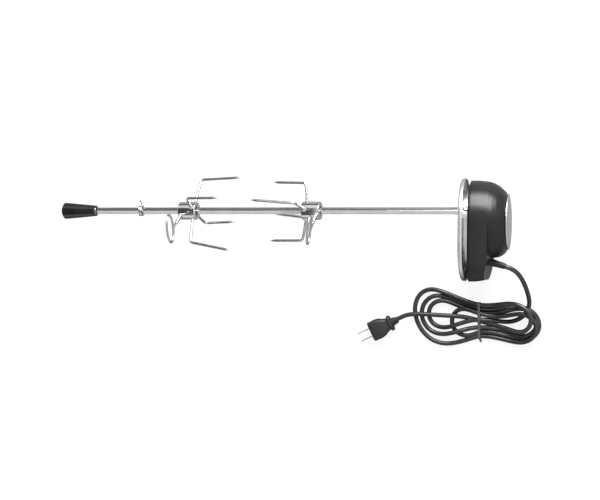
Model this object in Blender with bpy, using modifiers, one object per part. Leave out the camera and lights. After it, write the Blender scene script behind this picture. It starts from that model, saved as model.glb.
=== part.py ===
"""Rotisserie spit roaster: a geared motor, a square spit with two meat forks, and a mains cord.

The object lies on its side on z = 0. The spit runs along X with the motor at +X, the foot of the
motor points to -Y, and the cord lies beside the motor. Lengths are in metres.

Directions round the spit are angles from the surface below (-Z) through +Y, so 90 is +Y and
180 is straight up. Places in the motor are (y, z) offsets from the spit's axis.
"""
import math

import bmesh
import bpy
from mathutils import Matrix, Vector

MM = 0.001
GAP = 0.3 * MM          # left between pieces that touch
ROUND = 32              # sides of a turned piece
SMALL_ROUND = 16        # sides of a screw, post or axle

# Spit
SPIT_Y = 23.9 * MM
SPIT_HEIGHT = 56.5 * MM
ROD_SIDE = 8.0 * MM
ROD_EDGE = 0.5 * MM
HANDLE_END_X = -356.8 * MM
HANDLE_LENGTH = 58.0 * MM
HANDLE_END_RADIUS = 13.4 * MM
HANDLE_NECK_RADIUS = 8.5 * MM
ROD_START_X = HANDLE_END_X + 14.0 * MM
ROD_TIP_X = 309.5 * MM
ROD_POINT = 9.0 * MM
BUSHING_X = -220.7 * MM
BUSHING_WIDTH = 5.0 * MM
BUSHING_RADIUS = 8.7 * MM

# Meat forks
HUB_LENGTH = 28.2 * MM
HUB_RADIUS = 14.0 * MM
HUB_BORE = 7.0 * MM
HUB_CHAMFER = 0.8 * MM
TINE_RADIUS = 2.1 * MM
TINE_SET_BACK = 5.8 * MM     # from the hub's face to the tines' holes
TINE_LEAN = 3.3 * MM
TINE_BEND = 5.0 * MM
TINE_POINT = 10.0 * MM
LONG_TINE = 66.5 * MM
SHORT_TINE = 51.5 * MM
SCREW_SET_IN = 5.0 * MM      # from the hub's plain end to the thumbscrew
SCREW_RADIUS = 2.6 * MM
SCREW_TIP = 6.0 * MM
LOOP_JOIN = 49.5 * MM        # from the spit's axis to where the shank meets the loop
LOOP_LEAN = math.radians(27.0)
LOOP_HALF_LENGTH = 20.9 * MM
LOOP_HALF_WIDTH = 11.4 * MM
LOOP_WIRE = 1.8 * MM
# Each fork's tines are a long, a short, a long and a short one, a quarter turn apart. Their reach
# is from the spit's axis, and each leans out from it (splay) and round it (swing) a little.
FORKS = {
    "left": {
        "face_x": -126.2 * MM, "points": 1, "long_angle": 65.8, "reach": (55.0, 43.5, 55.0, 44.0),
        "splay": (3.0, 0.6, 11.0, 0.0), "swing": (0.0, 0.0, 0.0, 3.0),
        "screw_angle": 214.0, "loop_turn": 4.0,
    },
    "right": {
        "face_x": 45.3 * MM, "points": -1, "long_angle": 170.2, "reach": (55.0, 46.0, 55.0, 43.5),
        "splay": (5.0, 0.5, 0.0, 1.5), "swing": (-3.4, 0.0, 7.0, 0.0),
        "screw_angle": 215.0, "loop_turn": -8.0,
    },
}

# Motor
PLATE_X = 287.0 * MM
PLATE_DEPTH = 6.3 * MM
PLATE_SHEET = 1.6 * MM
PLATE_RECESS = 2.4 * MM      # the plate's middle lies this far behind the flat border round it
PLATE_BORDER = 13.0 * MM
PLATE_TOP = 47.3 * MM
PLATE_BOTTOM = -102.4 * MM
HALF_DEPTH = 56.5 * MM
SHROUD_TOP = 29.0 * MM
SHROUD_BOTTOM = -82.0 * MM
SHROUD_HALF_DEPTH = 44.0 * MM
SHROUD_WALL = 2.0 * MM
RIM_X = 300.7 * MM
HOUSING_WALL = 2.5 * MM
HOUSING_TOP = 44.0 * MM
FOOT_BOTTOM = -102.4 * MM
FOOT_CORNER = 26.0 * MM
FOOT_BACK_X = 329.0 * MM
FOOT_SLOPE = 0.16
DOME_BOTTOM = -68.0 * MM
DOME_RINGS = (            # x behind the rim, top, bottom
    (28.8, 40.7, -68.5),
    (33.3, 39.3, -68.2),
    (39.8, 35.8, -67.0),
    (45.3, 31.2, -64.2),
    (49.3, 27.3, -60.4),
    (51.6, 23.0, -56.0),
)
CAP_RADIUS = 40.5 * MM
CAP_Y = -16.4 * MM
CAP_BULGE = 4.2 * MM
BASE_X = 301.8 * MM
GEAR_PLATE_X = 327.3 * MM
SHEET = 2.0 * MM
GEAR_PLATE_HALF = 41.0 * MM
GEARBOX_Y = -12.5 * MM
POST_OFFSET = 33.0 * MM
AXLE_RADIUS = 2.0 * MM

# Gear train: (y, z) from the spit's axis
MODULE = 1.0 * MM
PINION_TEETH = 12
WHEEL_TEETH = 42
OUTPUT_TEETH = 48
FIRST_ANGLE = math.radians(126.87)
SECOND_ANGLE = math.radians(222.0)
THIRD_ANGLE = math.radians(-54.0)
OUTPUT_X = (305.3 * MM, 311.3 * MM)
MIDDLE_X = (313.3 * MM, 318.3 * MM)
INPUT_X = (320.3 * MM, 325.3 * MM)
SOCKET_X = (287.4 * MM, 312.3 * MM)
SOCKET_RADIUS = 10.0 * MM
SOCKET_STUB = 4.0 * MM
ROTOR_X = (333.3 * MM, 345.3 * MM)
ROTOR_RADIUS = 11.5 * MM
CORE_X = (334.8 * MM, 343.8 * MM)

# Cord
CORD_RADIUS = 3.4 * MM
GLAND = Vector((FOOT_BACK_X, SPIT_Y - 74.5 * MM, SPIT_HEIGHT))
GLAND_TURN = math.radians(-16.0)
GLAND_LENGTH = 22.0 * MM
CORD_ROUTE = (
    (323.0, -48.9, 56.5), (337.0, -52.9, 56.5), (348.0, -56.0, 56.5), (353.0, -57.6, 56.2),
    (361.0, -61.8, 52.6), (367.5, -69.0, 45.0), (372.5, -79.0, 34.2), (376.5, -89.5, 23.5), (379.5, -99.5, 14.0),
    (381.0, -108.0, 9.2), (381.5, -115.0, 7.6),
)
LEAD_ROUTE = (
    (204.9, -131.7, 10.2), (199.5, -132.6, 10.0), (193.5, -134.7, 10.0), (187.5, -137.5, 10.0),
    (182.5, -140.1, 10.0), (177.5, -142.7, 10.0),
)
HANK_OUTLINE = (
    (206.5, -125.4), (213.5, -104.4), (232.0, -91.4), (258.0, -96.4), (283.0, -107.4),
    (307.0, -112.9), (345.0, -110.9), (374.0, -116.9), (394.0, -127.4), (397.5, -146.4),
    (390.0, -165.4), (368.0, -170.9), (338.0, -166.4), (307.0, -164.9), (285.0, -170.4),
    (256.0, -176.9), (234.0, -168.4), (216.0, -149.4),
)
HANK_Z = (1.6 * MM, 19.0 * MM)
TIE_X = (304.5 * MM, 309.5 * MM)
PLUG_FACE = Vector((143.5 * MM, -160.4 * MM, 10.0 * MM))
PLUG_TURN = math.radians(207.5)
PLUG_RINGS = (            # distance behind the face, width, height
    (0.0, 29.5, 17.5),
    (1.2, 31.0, 19.0),
    (12.0, 30.0, 18.5),
    (22.0, 25.0, 16.5),
    (29.0, 19.5, 15.0),
    (31.0, 24.5, 16.5),
    (34.0, 24.5, 16.5),
    (35.0, 23.0, 15.5),
)
BLADE = (21.0 * MM, 1.6 * MM, 6.4 * MM)
BLADE_SPACING = 12.7 * MM

parts = None
cutters = None


# Scene and materials

def clear_scene():
    for item in list(bpy.data.objects):
        bpy.data.objects.remove(item, do_unlink=True)


def new_collection(name):
    collection = bpy.data.collections.new(name)
    bpy.context.scene.collection.children.link(collection)
    return collection


def make_material(name, color, roughness, metallic):
    material = bpy.data.materials.new(name)
    material.use_nodes = True
    shader = material.node_tree.nodes["Principled BSDF"]
    shader.inputs["Base Color"].default_value = (*color, 1.0)
    shader.inputs["Roughness"].default_value = roughness
    shader.inputs["Metallic"].default_value = metallic
    return material


def make_materials():
    return {
        "chrome": make_material("chrome", (0.78, 0.78, 0.79), 0.15, 1.0),
        "rod_steel": make_material("rod_steel", (0.66, 0.66, 0.67), 0.28, 1.0),
        "zinc": make_material("zinc", (0.62, 0.62, 0.60), 0.35, 1.0),
        "bronze": make_material("bronze", (0.55, 0.38, 0.20), 0.35, 1.0),
        "black_plastic": make_material("black_plastic", (0.025, 0.025, 0.027), 0.45, 0.0),
        "grip": make_material("grip", (0.012, 0.012, 0.013), 0.3, 0.0),
        "nylon": make_material("nylon", (0.82, 0.80, 0.74), 0.45, 0.0),
        "cap_metal": make_material("cap_metal", (0.70, 0.70, 0.71), 0.25, 1.0),
        "core_steel": make_material("core_steel", (0.32, 0.32, 0.34), 0.45, 1.0),
        "winding": make_material("winding", (0.42, 0.16, 0.06), 0.4, 0.6),
        "cord_jacket": make_material("cord_jacket", (0.02, 0.02, 0.021), 0.5, 0.0),
        "brass": make_material("brass", (0.66, 0.58, 0.38), 0.3, 1.0),
        "tie": make_material("tie", (0.12, 0.12, 0.12), 0.5, 0.0),
    }


# Placing

def from_spit(x, reach=0.0, angle=0.0):
    """The point at that distance from the spit's axis, in a direction round the spit."""
    turn = math.radians(angle)
    return Vector((x, SPIT_Y + reach * math.sin(turn), SPIT_HEIGHT - reach * math.cos(turn)))


def in_motor(x, y, z):
    return Vector((x, SPIT_Y + y, SPIT_HEIGHT + z))


def along(direction):
    """The rotation that turns local Z to the direction."""
    return Vector(direction).to_track_quat("Z", "Y").to_matrix().to_4x4()


def across_x():
    """The rotation that lays a flat outline's X and Y along the world's Y and Z."""
    return Matrix(((0, 0, 1), (1, 0, 0), (0, 1, 0))).to_4x4()


def add_object(name, data, matrix, material):
    piece = bpy.data.objects.new(name, data)
    parts.objects.link(piece)
    piece.matrix_world = matrix
    data.materials.append(material)
    return piece


def to_mesh(piece):
    """Swap a curve piece for the mesh it makes, with its caps welded on."""
    bpy.context.view_layer.update()
    evaluated = piece.evaluated_get(bpy.context.evaluated_depsgraph_get())
    mesh = bpy.data.meshes.new_from_object(evaluated)
    shape = bmesh.new()
    shape.from_mesh(mesh)
    bmesh.ops.remove_doubles(shape, verts=shape.verts, dist=0.01 * MM)
    shape.to_mesh(mesh)
    shape.free()
    name = piece.name
    matrix = piece.matrix_world.copy()
    bpy.data.objects.remove(piece, do_unlink=True)
    solid = bpy.data.objects.new(name, mesh)
    parts.objects.link(solid)
    solid.matrix_world = matrix
    return solid


def apply_boolean(piece, other, operation):
    for collection in list(other.users_collection):
        collection.objects.unlink(other)
    cutters.objects.link(other)
    other.hide_render = True
    other.display_type = "WIRE"
    modifier = piece.modifiers.new(f"{operation.lower()} {other.name}", "BOOLEAN")
    modifier.operation = operation
    modifier.solver = "EXACT"
    modifier.object = other


def cut(piece, *others):
    for other in others:
        apply_boolean(piece, other, "DIFFERENCE")


def join(piece, *others):
    for other in others:
        apply_boolean(piece, other, "UNION")


def make_empty(name, position):
    empty = bpy.data.objects.new(name, None)
    empty.empty_display_size = 10 * MM
    parts.objects.link(empty)
    empty.matrix_world = Matrix.Translation(position)
    return empty


def attach(empty, *pieces):
    """Hang pieces on an empty without moving them."""
    for piece in pieces:
        piece.parent = empty
        piece.matrix_parent_inverse = Matrix.Translation(-empty.matrix_world.translation)


# Basic shapes

def cylinder(name, radius, start, end, material, sides=SMALL_ROUND):
    axis = end - start
    mesh = bpy.data.meshes.new(name)
    shape = bmesh.new()
    bmesh.ops.create_cone(
        shape, cap_ends=True, segments=sides, radius1=radius, radius2=radius, depth=axis.length
    )
    shape.to_mesh(mesh)
    shape.free()
    return add_object(name, mesh, Matrix.Translation((start + end) / 2) @ along(axis), material)


def box(name, size, centre, material, rotation=None):
    mesh = bpy.data.meshes.new(name)
    shape = bmesh.new()
    bmesh.ops.create_cube(shape, size=1.0)
    bmesh.ops.scale(shape, vec=size, verts=shape.verts)
    shape.to_mesh(mesh)
    shape.free()
    matrix = Matrix.Translation(centre)
    if rotation:
        matrix = matrix @ rotation
    return add_object(name, mesh, matrix, material)


def turned(name, profile, origin, axis, material, closed=False, sides=ROUND):
    """Turn a profile of (distance along the axis, radius), outer side first, about the axis."""
    mesh = bpy.data.meshes.new(name)
    shape = bmesh.new()
    verts = [shape.verts.new((radius, 0.0, height)) for height, radius in reversed(profile)]
    for first, second in zip(verts, verts[1:]):
        shape.edges.new((first, second))
    if closed:
        shape.edges.new((verts[-1], verts[0]))
    shape.to_mesh(mesh)
    shape.free()
    piece = add_object(name, mesh, Matrix.Translation(origin) @ along(axis), material)
    screw = piece.modifiers.new("turn", "SCREW")
    screw.axis = "Z"
    screw.angle = math.tau
    screw.steps = sides
    screw.render_steps = sides
    screw.use_merge_vertices = True
    screw.merge_threshold = 0.01 * MM
    return piece


def stepped_pin(name, steps, y, z, material, sides=SMALL_ROUND):
    """A pin along X, given as (x, radius) where each radius holds from its x to the next."""
    profile = [(steps[0][0], 0.0)]
    for (x, radius), (next_x, _) in zip(steps, steps[1:]):
        profile += [(x, radius), (next_x, radius)]
    profile.append((steps[-1][0], 0.0))
    return turned(name, profile, in_motor(0, y, z), (1, 0, 0), material, sides=sides)


def ring(name, x_start, x_end, inner, outer, y, z, material, sides=ROUND):
    profile = [(x_start, outer), (x_end, outer), (x_end, inner), (x_start, inner)]
    return turned(name, profile, in_motor(0, y, z), (1, 0, 0), material, closed=True, sides=sides)


def flat(name, outlines, x_start, x_end, y, z, material):
    """Flat stock across X, cut to the first outline of (y, z) points with the others as holes."""
    curve = bpy.data.curves.new(name, "CURVE")
    curve.dimensions = "2D"
    curve.fill_mode = "BOTH"
    curve.extrude = (x_end - x_start) / 2
    for outline in outlines:
        spline = curve.splines.new("POLY")
        spline.points.add(len(outline) - 1)
        for point, (first, second) in zip(spline.points, outline):
            point.co = (first, second, 0.0, 1.0)
        spline.use_cyclic_u = True
    matrix = Matrix.Translation(in_motor((x_start + x_end) / 2, y, z)) @ across_x()
    return add_object(name, curve, matrix, material)


def wire(name, points, radius, material, tapers=None, cyclic=False):
    curve = bpy.data.curves.new(name, "CURVE")
    curve.dimensions = "3D"
    curve.bevel_depth = radius
    curve.bevel_resolution = 2
    curve.use_fill_caps = not cyclic
    spline = curve.splines.new("POLY")
    spline.points.add(len(points) - 1)
    for index, point in enumerate(points):
        spline.points[index].co = (*point, 1.0)
        spline.points[index].radius = tapers[index] if tapers else 1.0
    spline.use_cyclic_u = cyclic
    return add_object(name, curve, Matrix(), material)


def loft(name, rings, material, start_cap=True, end_cap=True):
    """Join rings of points, each anticlockwise seen from the far end, into one surface."""
    mesh = bpy.data.meshes.new(name)
    shape = bmesh.new()
    rows = [[shape.verts.new(point) for point in points] for points in rings]
    for row, next_row in zip(rows, rows[1:]):
        for index in range(len(row)):
            after = (index + 1) % len(row)
            shape.faces.new((row[index], row[after], next_row[after], next_row[index]))
    if start_cap:
        shape.faces.new(list(reversed(rows[0])))
    if end_cap:
        shape.faces.new(rows[-1])
    shape.to_mesh(mesh)
    shape.free()
    return add_object(name, mesh, Matrix(), material)


def thicken(piece, thickness):
    solidify = piece.modifiers.new("wall", "SOLIDIFY")
    solidify.thickness = thickness
    solidify.offset = -1
    solidify.use_even_offset = True


# Outlines, as (y, z) points anticlockwise seen from +X

def circle_outline(radius, sides, y=0.0, z=0.0):
    steps = [math.tau * index / sides for index in range(sides)]
    return [(y + radius * math.cos(turn), z + radius * math.sin(turn)) for turn in steps]


def rounded_outline(bottom, top, half_depth, low_corner, high_corner, steps=9):
    points = []
    for quarter, (side_y, corner) in enumerate(
        ((top, high_corner), (bottom, low_corner), (bottom, low_corner), (top, high_corner))
    ):
        inward = -1 if side_y == top else 1
        sign = 1 if quarter < 2 else -1
        centre = (side_y + inward * corner, sign * (half_depth - corner))
        for step in range(steps + 1):
            turn = math.pi / 2 * (quarter + step / steps)
            points.append(
                (centre[0] + corner * math.cos(turn), centre[1] + corner * math.sin(turn))
            )
    return points


def gear_outline(teeth, phase):
    """Straight-sided teeth, one of them centred on the phase angle."""
    pitch = math.tau / teeth
    root = MODULE * (teeth / 2 - 1.15)
    tip = MODULE * (teeth / 2 + 0.85)
    points = []
    for tooth in range(teeth):
        middle = phase + tooth * pitch
        for radius, part in ((root, -0.30), (tip, -0.11), (tip, 0.11), (root, 0.30)):
            turn = middle + part * pitch
            points.append((radius * math.cos(turn), radius * math.sin(turn)))
    return points


def smooth_points(route, steps, cyclic=False):
    """Read points off a smooth curve through the route's own points."""
    knots = [Vector(point) * MM for point in route]
    count = len(knots)
    spans = count if cyclic else count - 1
    points = []
    for span in range(spans):
        if cyclic:
            before, start, end, after = (knots[(span + shift) % count] for shift in (-1, 0, 1, 2))
        else:
            start = knots[span]
            end = knots[span + 1]
            before = knots[span - 1] if span else start * 2 - end
            after = knots[span + 2] if span + 2 < count else end * 2 - start
        for step in range(steps):
            part = step / steps
            points.append(
                0.5 * (
                    2 * start + (end - before) * part
                    + (2 * before - 5 * start + 4 * end - after) * part ** 2
                    + (3 * start - before - 3 * end + after) * part ** 3
                )
            )
    if not cyclic:
        points.append(knots[-1])
    return points


# Spit

def make_spit(materials):
    half = ROD_SIDE / 2 - ROD_EDGE

    def section(x, scale):
        corners = []
        for quarter in range(4):
            turn = math.radians(45 + 90 * quarter)
            centre = Vector((math.cos(turn), math.sin(turn))) * half * math.sqrt(2)
            for side in (-45, 0, 45):
                edge = turn + math.radians(side)
                corners.append(centre + Vector((math.cos(edge), math.sin(edge))) * ROD_EDGE)
        turn = Matrix.Rotation(math.radians(45), 2)
        return [in_motor(x, *(turn @ corner * scale)) for corner in corners]

    rings = [
        section(ROD_START_X, 1.0),
        section(ROD_TIP_X - ROD_POINT, 1.0),
        section(ROD_TIP_X, 0.15),
    ]
    rod = loft("spit_rod", rings, materials["rod_steel"])

    bore = 6.0 * MM
    recess = 7.3 * MM
    neck_x = HANDLE_LENGTH
    profile = [(0.0, 0.0), (0.0, HANDLE_END_RADIUS - 3.0 * MM), (0.9 * MM, HANDLE_END_RADIUS - 0.9 * MM)]
    profile += [(3.0 * MM, HANDLE_END_RADIUS), (neck_x - 1.0 * MM, HANDLE_NECK_RADIUS)]
    profile += [(neck_x, HANDLE_NECK_RADIUS - 0.7 * MM), (neck_x, recess), (neck_x - 8.0 * MM, recess)]
    profile += [(neck_x - 8.0 * MM, bore), (12.0 * MM, bore), (12.0 * MM, 0.0)]
    grip = turned("handle_grip", profile, from_spit(HANDLE_END_X), (1, 0, 0), materials["grip"])
    neck = HANDLE_END_X + HANDLE_LENGTH
    ferrule = ring(
        "handle_ferrule", neck - 7.7 * MM, neck + 1.0 * MM, bore, recess - GAP, 0, 0, materials["chrome"]
    )
    return rod, grip, ferrule


def make_bushing(materials):
    half = BUSHING_WIDTH / 2
    lip = 1.3 * MM
    waist = BUSHING_RADIUS - 1.2 * MM
    bore = 6.1 * MM
    profile = [
        (-half, BUSHING_RADIUS), (-half + lip, BUSHING_RADIUS), (-half + lip, waist),
        (half - lip, waist), (half - lip, BUSHING_RADIUS), (half, BUSHING_RADIUS),
        (half, bore), (-half, bore),
    ]
    bushing = turned(
        "support_bushing", profile, from_spit(BUSHING_X), (1, 0, 0), materials["chrome"], closed=True
    )
    screw_radius = 1.2 * MM
    up = from_spit(BUSHING_X, 1.0, 90.0) - from_spit(BUSHING_X)
    start = from_spit(BUSHING_X) + up * 5.0 * MM
    hole = cylinder(
        "bushing_screw_hole", screw_radius + GAP, start, start + up * 8.0 * MM, materials["chrome"], 10
    )
    cut(bushing, hole)
    shank = [(6.1 * MM, 0.0), (6.1 * MM, screw_radius), (11.0 * MM, screw_radius)]
    head = [(11.4 * MM, 2.6 * MM), (13.0 * MM, 2.9 * MM), (16.6 * MM, 2.4 * MM), (17.2 * MM, 1.6 * MM)]
    screw = turned(
        "bushing_thumbscrew", shank + head + [(17.2 * MM, 0.0)], from_spit(BUSHING_X), up,
        materials["chrome"], sides=12,
    )
    return bushing, screw


# Meat forks

def tine_points(fork, number, angle, length):
    """A tine's centreline: out from the hub, round the bend, and along the spit to its point."""
    forward = fork["points"]
    reach = fork["reach"][number] * MM
    rise = math.tan(math.radians(fork["splay"][number]))
    drift = math.tan(math.radians(fork["swing"][number]))
    sideways = from_spit(0.0, 1.0, angle + 90) - from_spit(0.0)
    base_x = fork["face_x"] - forward * TINE_SET_BACK
    bend_x = base_x + forward * TINE_LEAN
    points = [from_spit(base_x + forward * 0.1 * MM, HUB_RADIUS - 3.6 * MM, angle)]
    for step in range(5):
        turn = math.pi / 2 * step / 4
        x = bend_x + forward * TINE_BEND * (1 - math.cos(turn))
        points.append(from_spit(x, reach - TINE_BEND * (1 - math.sin(turn)), angle))
    run = length - TINE_BEND
    start_x = bend_x + forward * TINE_BEND
    for distance in (run - TINE_POINT, run):
        point = from_spit(start_x + forward * distance, reach + rise * distance, angle)
        points.append(point + sideways * drift * distance)
    return points


def make_thumbscrew(name, x, angle, loop_turn, materials):
    """A screw that bears on the rod, with a leaning oval loop of wire to turn it by."""
    loop = []
    sides = 28
    out = (from_spit(x, 1.0, angle) - from_spit(x))
    across = (from_spit(x, 1.0, angle + 90) - from_spit(x))
    across = Matrix.Rotation(math.radians(loop_turn), 3, out) @ across
    long_way = across * math.cos(LOOP_LEAN) + out * math.sin(LOOP_LEAN)
    short_way = out * math.cos(LOOP_LEAN) - across * math.sin(LOOP_LEAN)
    centre = from_spit(x) + out * LOOP_JOIN + short_way * LOOP_HALF_WIDTH
    for step in range(sides):
        turn = math.tau * step / sides
        loop.append(
            centre + long_way * LOOP_HALF_LENGTH * math.cos(turn)
            + short_way * LOOP_HALF_WIDTH * math.sin(turn)
        )
    handle = to_mesh(wire(f"{name}_loop", loop, LOOP_WIRE, materials["chrome"], cyclic=True))
    shank_end = LOOP_JOIN + 0.4 * MM
    profile = [
        (SCREW_TIP, 0.0), (SCREW_TIP, SCREW_RADIUS - 0.6 * MM), (SCREW_TIP + 0.6 * MM, SCREW_RADIUS),
        (shank_end - 14.0 * MM, SCREW_RADIUS), (shank_end - 12.5 * MM, LOOP_WIRE + 0.15 * MM),
        (shank_end, LOOP_WIRE + 0.15 * MM), (shank_end, 0.0),
    ]
    screw = turned(name, profile, from_spit(x), out, materials["chrome"], sides=SMALL_ROUND)
    join(screw, handle)
    return screw


def make_fork(side, fork, materials):
    forward = fork["points"]
    face_x = fork["face_x"]
    plain_x = face_x - forward * HUB_LENGTH
    low_x, high_x = sorted((face_x, plain_x))
    profile = [
        (low_x, HUB_RADIUS - HUB_CHAMFER), (low_x + HUB_CHAMFER, HUB_RADIUS),
        (high_x - HUB_CHAMFER, HUB_RADIUS), (high_x, HUB_RADIUS - HUB_CHAMFER),
        (high_x, HUB_BORE + HUB_CHAMFER), (high_x - HUB_CHAMFER, HUB_BORE),
        (low_x + HUB_CHAMFER, HUB_BORE), (low_x, HUB_BORE + HUB_CHAMFER),
    ]
    hub = turned(
        f"{side}_fork_hub", profile, from_spit(0), (1, 0, 0), materials["chrome"], closed=True
    )
    pieces = [hub]
    for number, (kind, length) in enumerate((("long", LONG_TINE), ("short", SHORT_TINE)) * 2):
        angle = fork["long_angle"] + 90 * number
        points = tine_points(fork, number, angle, length)
        tapers = [1.0] * (len(points) - 1) + [0.3]
        pair = 1 + number // 2
        name = f"{side}_fork_{kind}_tine_{pair}"
        pieces.append(wire(name, points, TINE_RADIUS, materials["chrome"], tapers))
        direction = (points[1] - points[0]).normalized()
        start = points[0] - direction * 0.4 * MM
        end = points[0] + direction * 8.0 * MM
        cut(hub, cylinder(f"{name}_hole", TINE_RADIUS + GAP, start, end, materials["chrome"], 12))
    screw_x = plain_x + forward * SCREW_SET_IN
    screw_angle = fork["screw_angle"]
    hole_start = from_spit(screw_x, HUB_BORE - 2.0 * MM, screw_angle)
    hole_end = from_spit(screw_x, HUB_RADIUS + 2.0 * MM, screw_angle)
    cut(hub, cylinder(f"{side}_screw_hole", SCREW_RADIUS + GAP, hole_start, hole_end, materials["chrome"]))
    screw = make_thumbscrew(
        f"{side}_fork_thumbscrew", screw_x, screw_angle, fork["loop_turn"], materials
    )
    return pieces, screw, from_spit(screw_x)


# Gear train

def polar(centre, reach, turn):
    return (centre[0] + reach * math.cos(turn), centre[1] + reach * math.sin(turn))


def gear_places():
    stage = MODULE * (PINION_TEETH + WHEEL_TEETH) / 2
    two = polar((0.0, 0.0), MODULE * (PINION_TEETH + OUTPUT_TEETH) / 2, FIRST_ANGLE)
    one = polar(two, stage, SECOND_ANGLE)
    motor = polar(one, stage, THIRD_ANGLE)
    return one, two, motor


def mesh_phase(teeth, turn):
    """The phase that puts a gap, not a tooth, in the direction of the other gear's tooth."""
    return turn + math.pi / teeth


def compound_gear(name, place, wheel_x, pinion_x, wheel_phase, pinion_phase, materials):
    wheel = to_mesh(
        flat(name, [gear_outline(WHEEL_TEETH, wheel_phase)], *wheel_x, *place, materials["nylon"])
    )
    pinion = to_mesh(
        flat(f"{name}_pinion", [gear_outline(PINION_TEETH, pinion_phase)], *pinion_x, *place, materials["nylon"])
    )
    low = min(wheel_x[0], pinion_x[0]) - 1.0 * MM
    high = max(wheel_x[1], pinion_x[1]) + 1.0 * MM
    bore = cylinder(
        f"{name}_bore", AXLE_RADIUS + GAP, in_motor(low, *place), in_motor(high, *place), materials["nylon"]
    )
    join(wheel, pinion)
    cut(wheel, bore)
    return wheel


def make_gears(materials):
    one, two, motor = gear_places()
    output = flat(
        "output_gear",
        [gear_outline(OUTPUT_TEETH, FIRST_ANGLE), circle_outline(SOCKET_RADIUS + GAP, ROUND)],
        *OUTPUT_X, 0, 0, materials["nylon"],
    )
    gear_two = compound_gear(
        "gear_two", two, MIDDLE_X, (OUTPUT_X[0], MIDDLE_X[0] + 1.5 * MM),
        SECOND_ANGLE, mesh_phase(PINION_TEETH, FIRST_ANGLE + math.pi), materials,
    )
    gear_one = compound_gear(
        "gear_one", one, INPUT_X, (MIDDLE_X[0], INPUT_X[0] + 1.5 * MM),
        THIRD_ANGLE, mesh_phase(PINION_TEETH, SECOND_ANGLE + math.pi), materials,
    )
    shaft = 1.6 * MM
    pinion = flat(
        "rotor_pinion",
        [
            gear_outline(PINION_TEETH, mesh_phase(PINION_TEETH, THIRD_ANGLE + math.pi)),
            circle_outline(shaft + GAP, 12),
        ],
        *INPUT_X, *motor, materials["bronze"],
    )
    rotor = stepped_pin(
        "rotor",
        ((INPUT_X[0] - 0.8 * MM, shaft), (ROTOR_X[0], ROTOR_RADIUS), (ROTOR_X[1], shaft), (ROTOR_X[1] + 1.9 * MM, 0)),
        *motor, materials["core_steel"], sides=24,
    )
    return output, gear_one, gear_two, pinion, rotor


def make_socket(materials):
    bore_end = ROD_TIP_X + 1.0 * MM
    socket = stepped_pin(
        "drive_socket",
        ((SOCKET_X[0], SOCKET_RADIUS), (SOCKET_X[1], SOCKET_STUB), (GEAR_PLATE_X + 1.5 * MM, 0)),
        0, 0, materials["zinc"], sides=ROUND,
    )
    width = ROD_SIDE + 2 * GAP
    length = bore_end - SOCKET_X[0] + 5.0 * MM
    middle = in_motor(bore_end - length / 2, 0, 0)
    turn = Matrix.Rotation(math.radians(45), 4, "X")
    cut(socket, box("socket_bore", (length, width, width), middle, materials["zinc"], turn))
    return socket


# Motor

def make_gearbox_plates(materials):
    one, two, motor = gear_places()
    posts = [
        (GEARBOX_Y + side_y * POST_OFFSET, side_z * POST_OFFSET) for side_y in (-1, 1) for side_z in (-1, 1)
    ]
    pin = AXLE_RADIUS + GAP
    wall = HOUSING_WALL + 0.4 * MM
    outline = rounded_outline(
        FOOT_BOTTOM + wall, HOUSING_TOP - wall, HALF_DEPTH - wall, FOOT_CORNER - wall,
        HALF_DEPTH - wall - 0.5 * MM,
    )
    pins = [circle_outline(pin, 12, *place) for place in posts + [one, two]]
    screws = [circle_outline(2.1 * MM, 12, *place) for place in plate_screw_places()]
    base = flat(
        "base_plate", [outline, circle_outline(SOCKET_RADIUS + 0.6 * MM, 24)] + pins + screws,
        BASE_X, BASE_X + SHEET, 0, 0, materials["zinc"],
    )
    half = GEAR_PLATE_HALF
    square = rounded_outline(GEARBOX_Y - half, GEARBOX_Y + half, half, 21 * MM, 21 * MM, 4)
    studs = [circle_outline(1.5 * MM, 8, *place) for place in stud_places()]
    housing_holes = [circle_outline(2.2 * MM, 12, *place) for place in housing_screw_places()]
    rotor_hole = circle_outline(2.2 * MM, 12, *motor)
    gear_plate = flat(
        "gear_plate",
        [square, circle_outline(SOCKET_STUB + GAP, 16), rotor_hole] + pins + studs + housing_holes,
        GEAR_PLATE_X, GEAR_PLATE_X + SHEET, 0, 0, materials["zinc"],
    )
    pieces = [base, gear_plate]
    pin_start = BASE_X + 0.2 * MM
    pin_end = GEAR_PLATE_X + SHEET - 0.2 * MM
    for number, place in enumerate(posts, 1):
        steps = (
            (pin_start, AXLE_RADIUS), (BASE_X + SHEET + GAP, 3.5 * MM), (GEAR_PLATE_X - GAP, AXLE_RADIUS),
            (pin_end, 0),
        )
        pieces.append(stepped_pin(f"gearbox_post_{number}", steps, *place, materials["zinc"]))
    for name, place in (("axle_one", one), ("axle_two", two)):
        pieces.append(
            stepped_pin(name, ((pin_start, AXLE_RADIUS), (pin_end, 0)), *place, materials["rod_steel"])
        )
    return pieces


def plate_screw_places():
    return [(PLATE_TOP / 2 + PLATE_BOTTOM / 2 + y * MM, z * MM) for y in (-38, 38) for z in (-22, 22)]


def housing_screw_places():
    return [(y * MM, 0.0) for y in (14.0, -43.0)]


def stud_places():
    motor = gear_places()[2]
    return [(motor[0] + side * 12.6 * MM, motor[1] - side * 12.6 * MM) for side in (-1, 1)]


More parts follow.
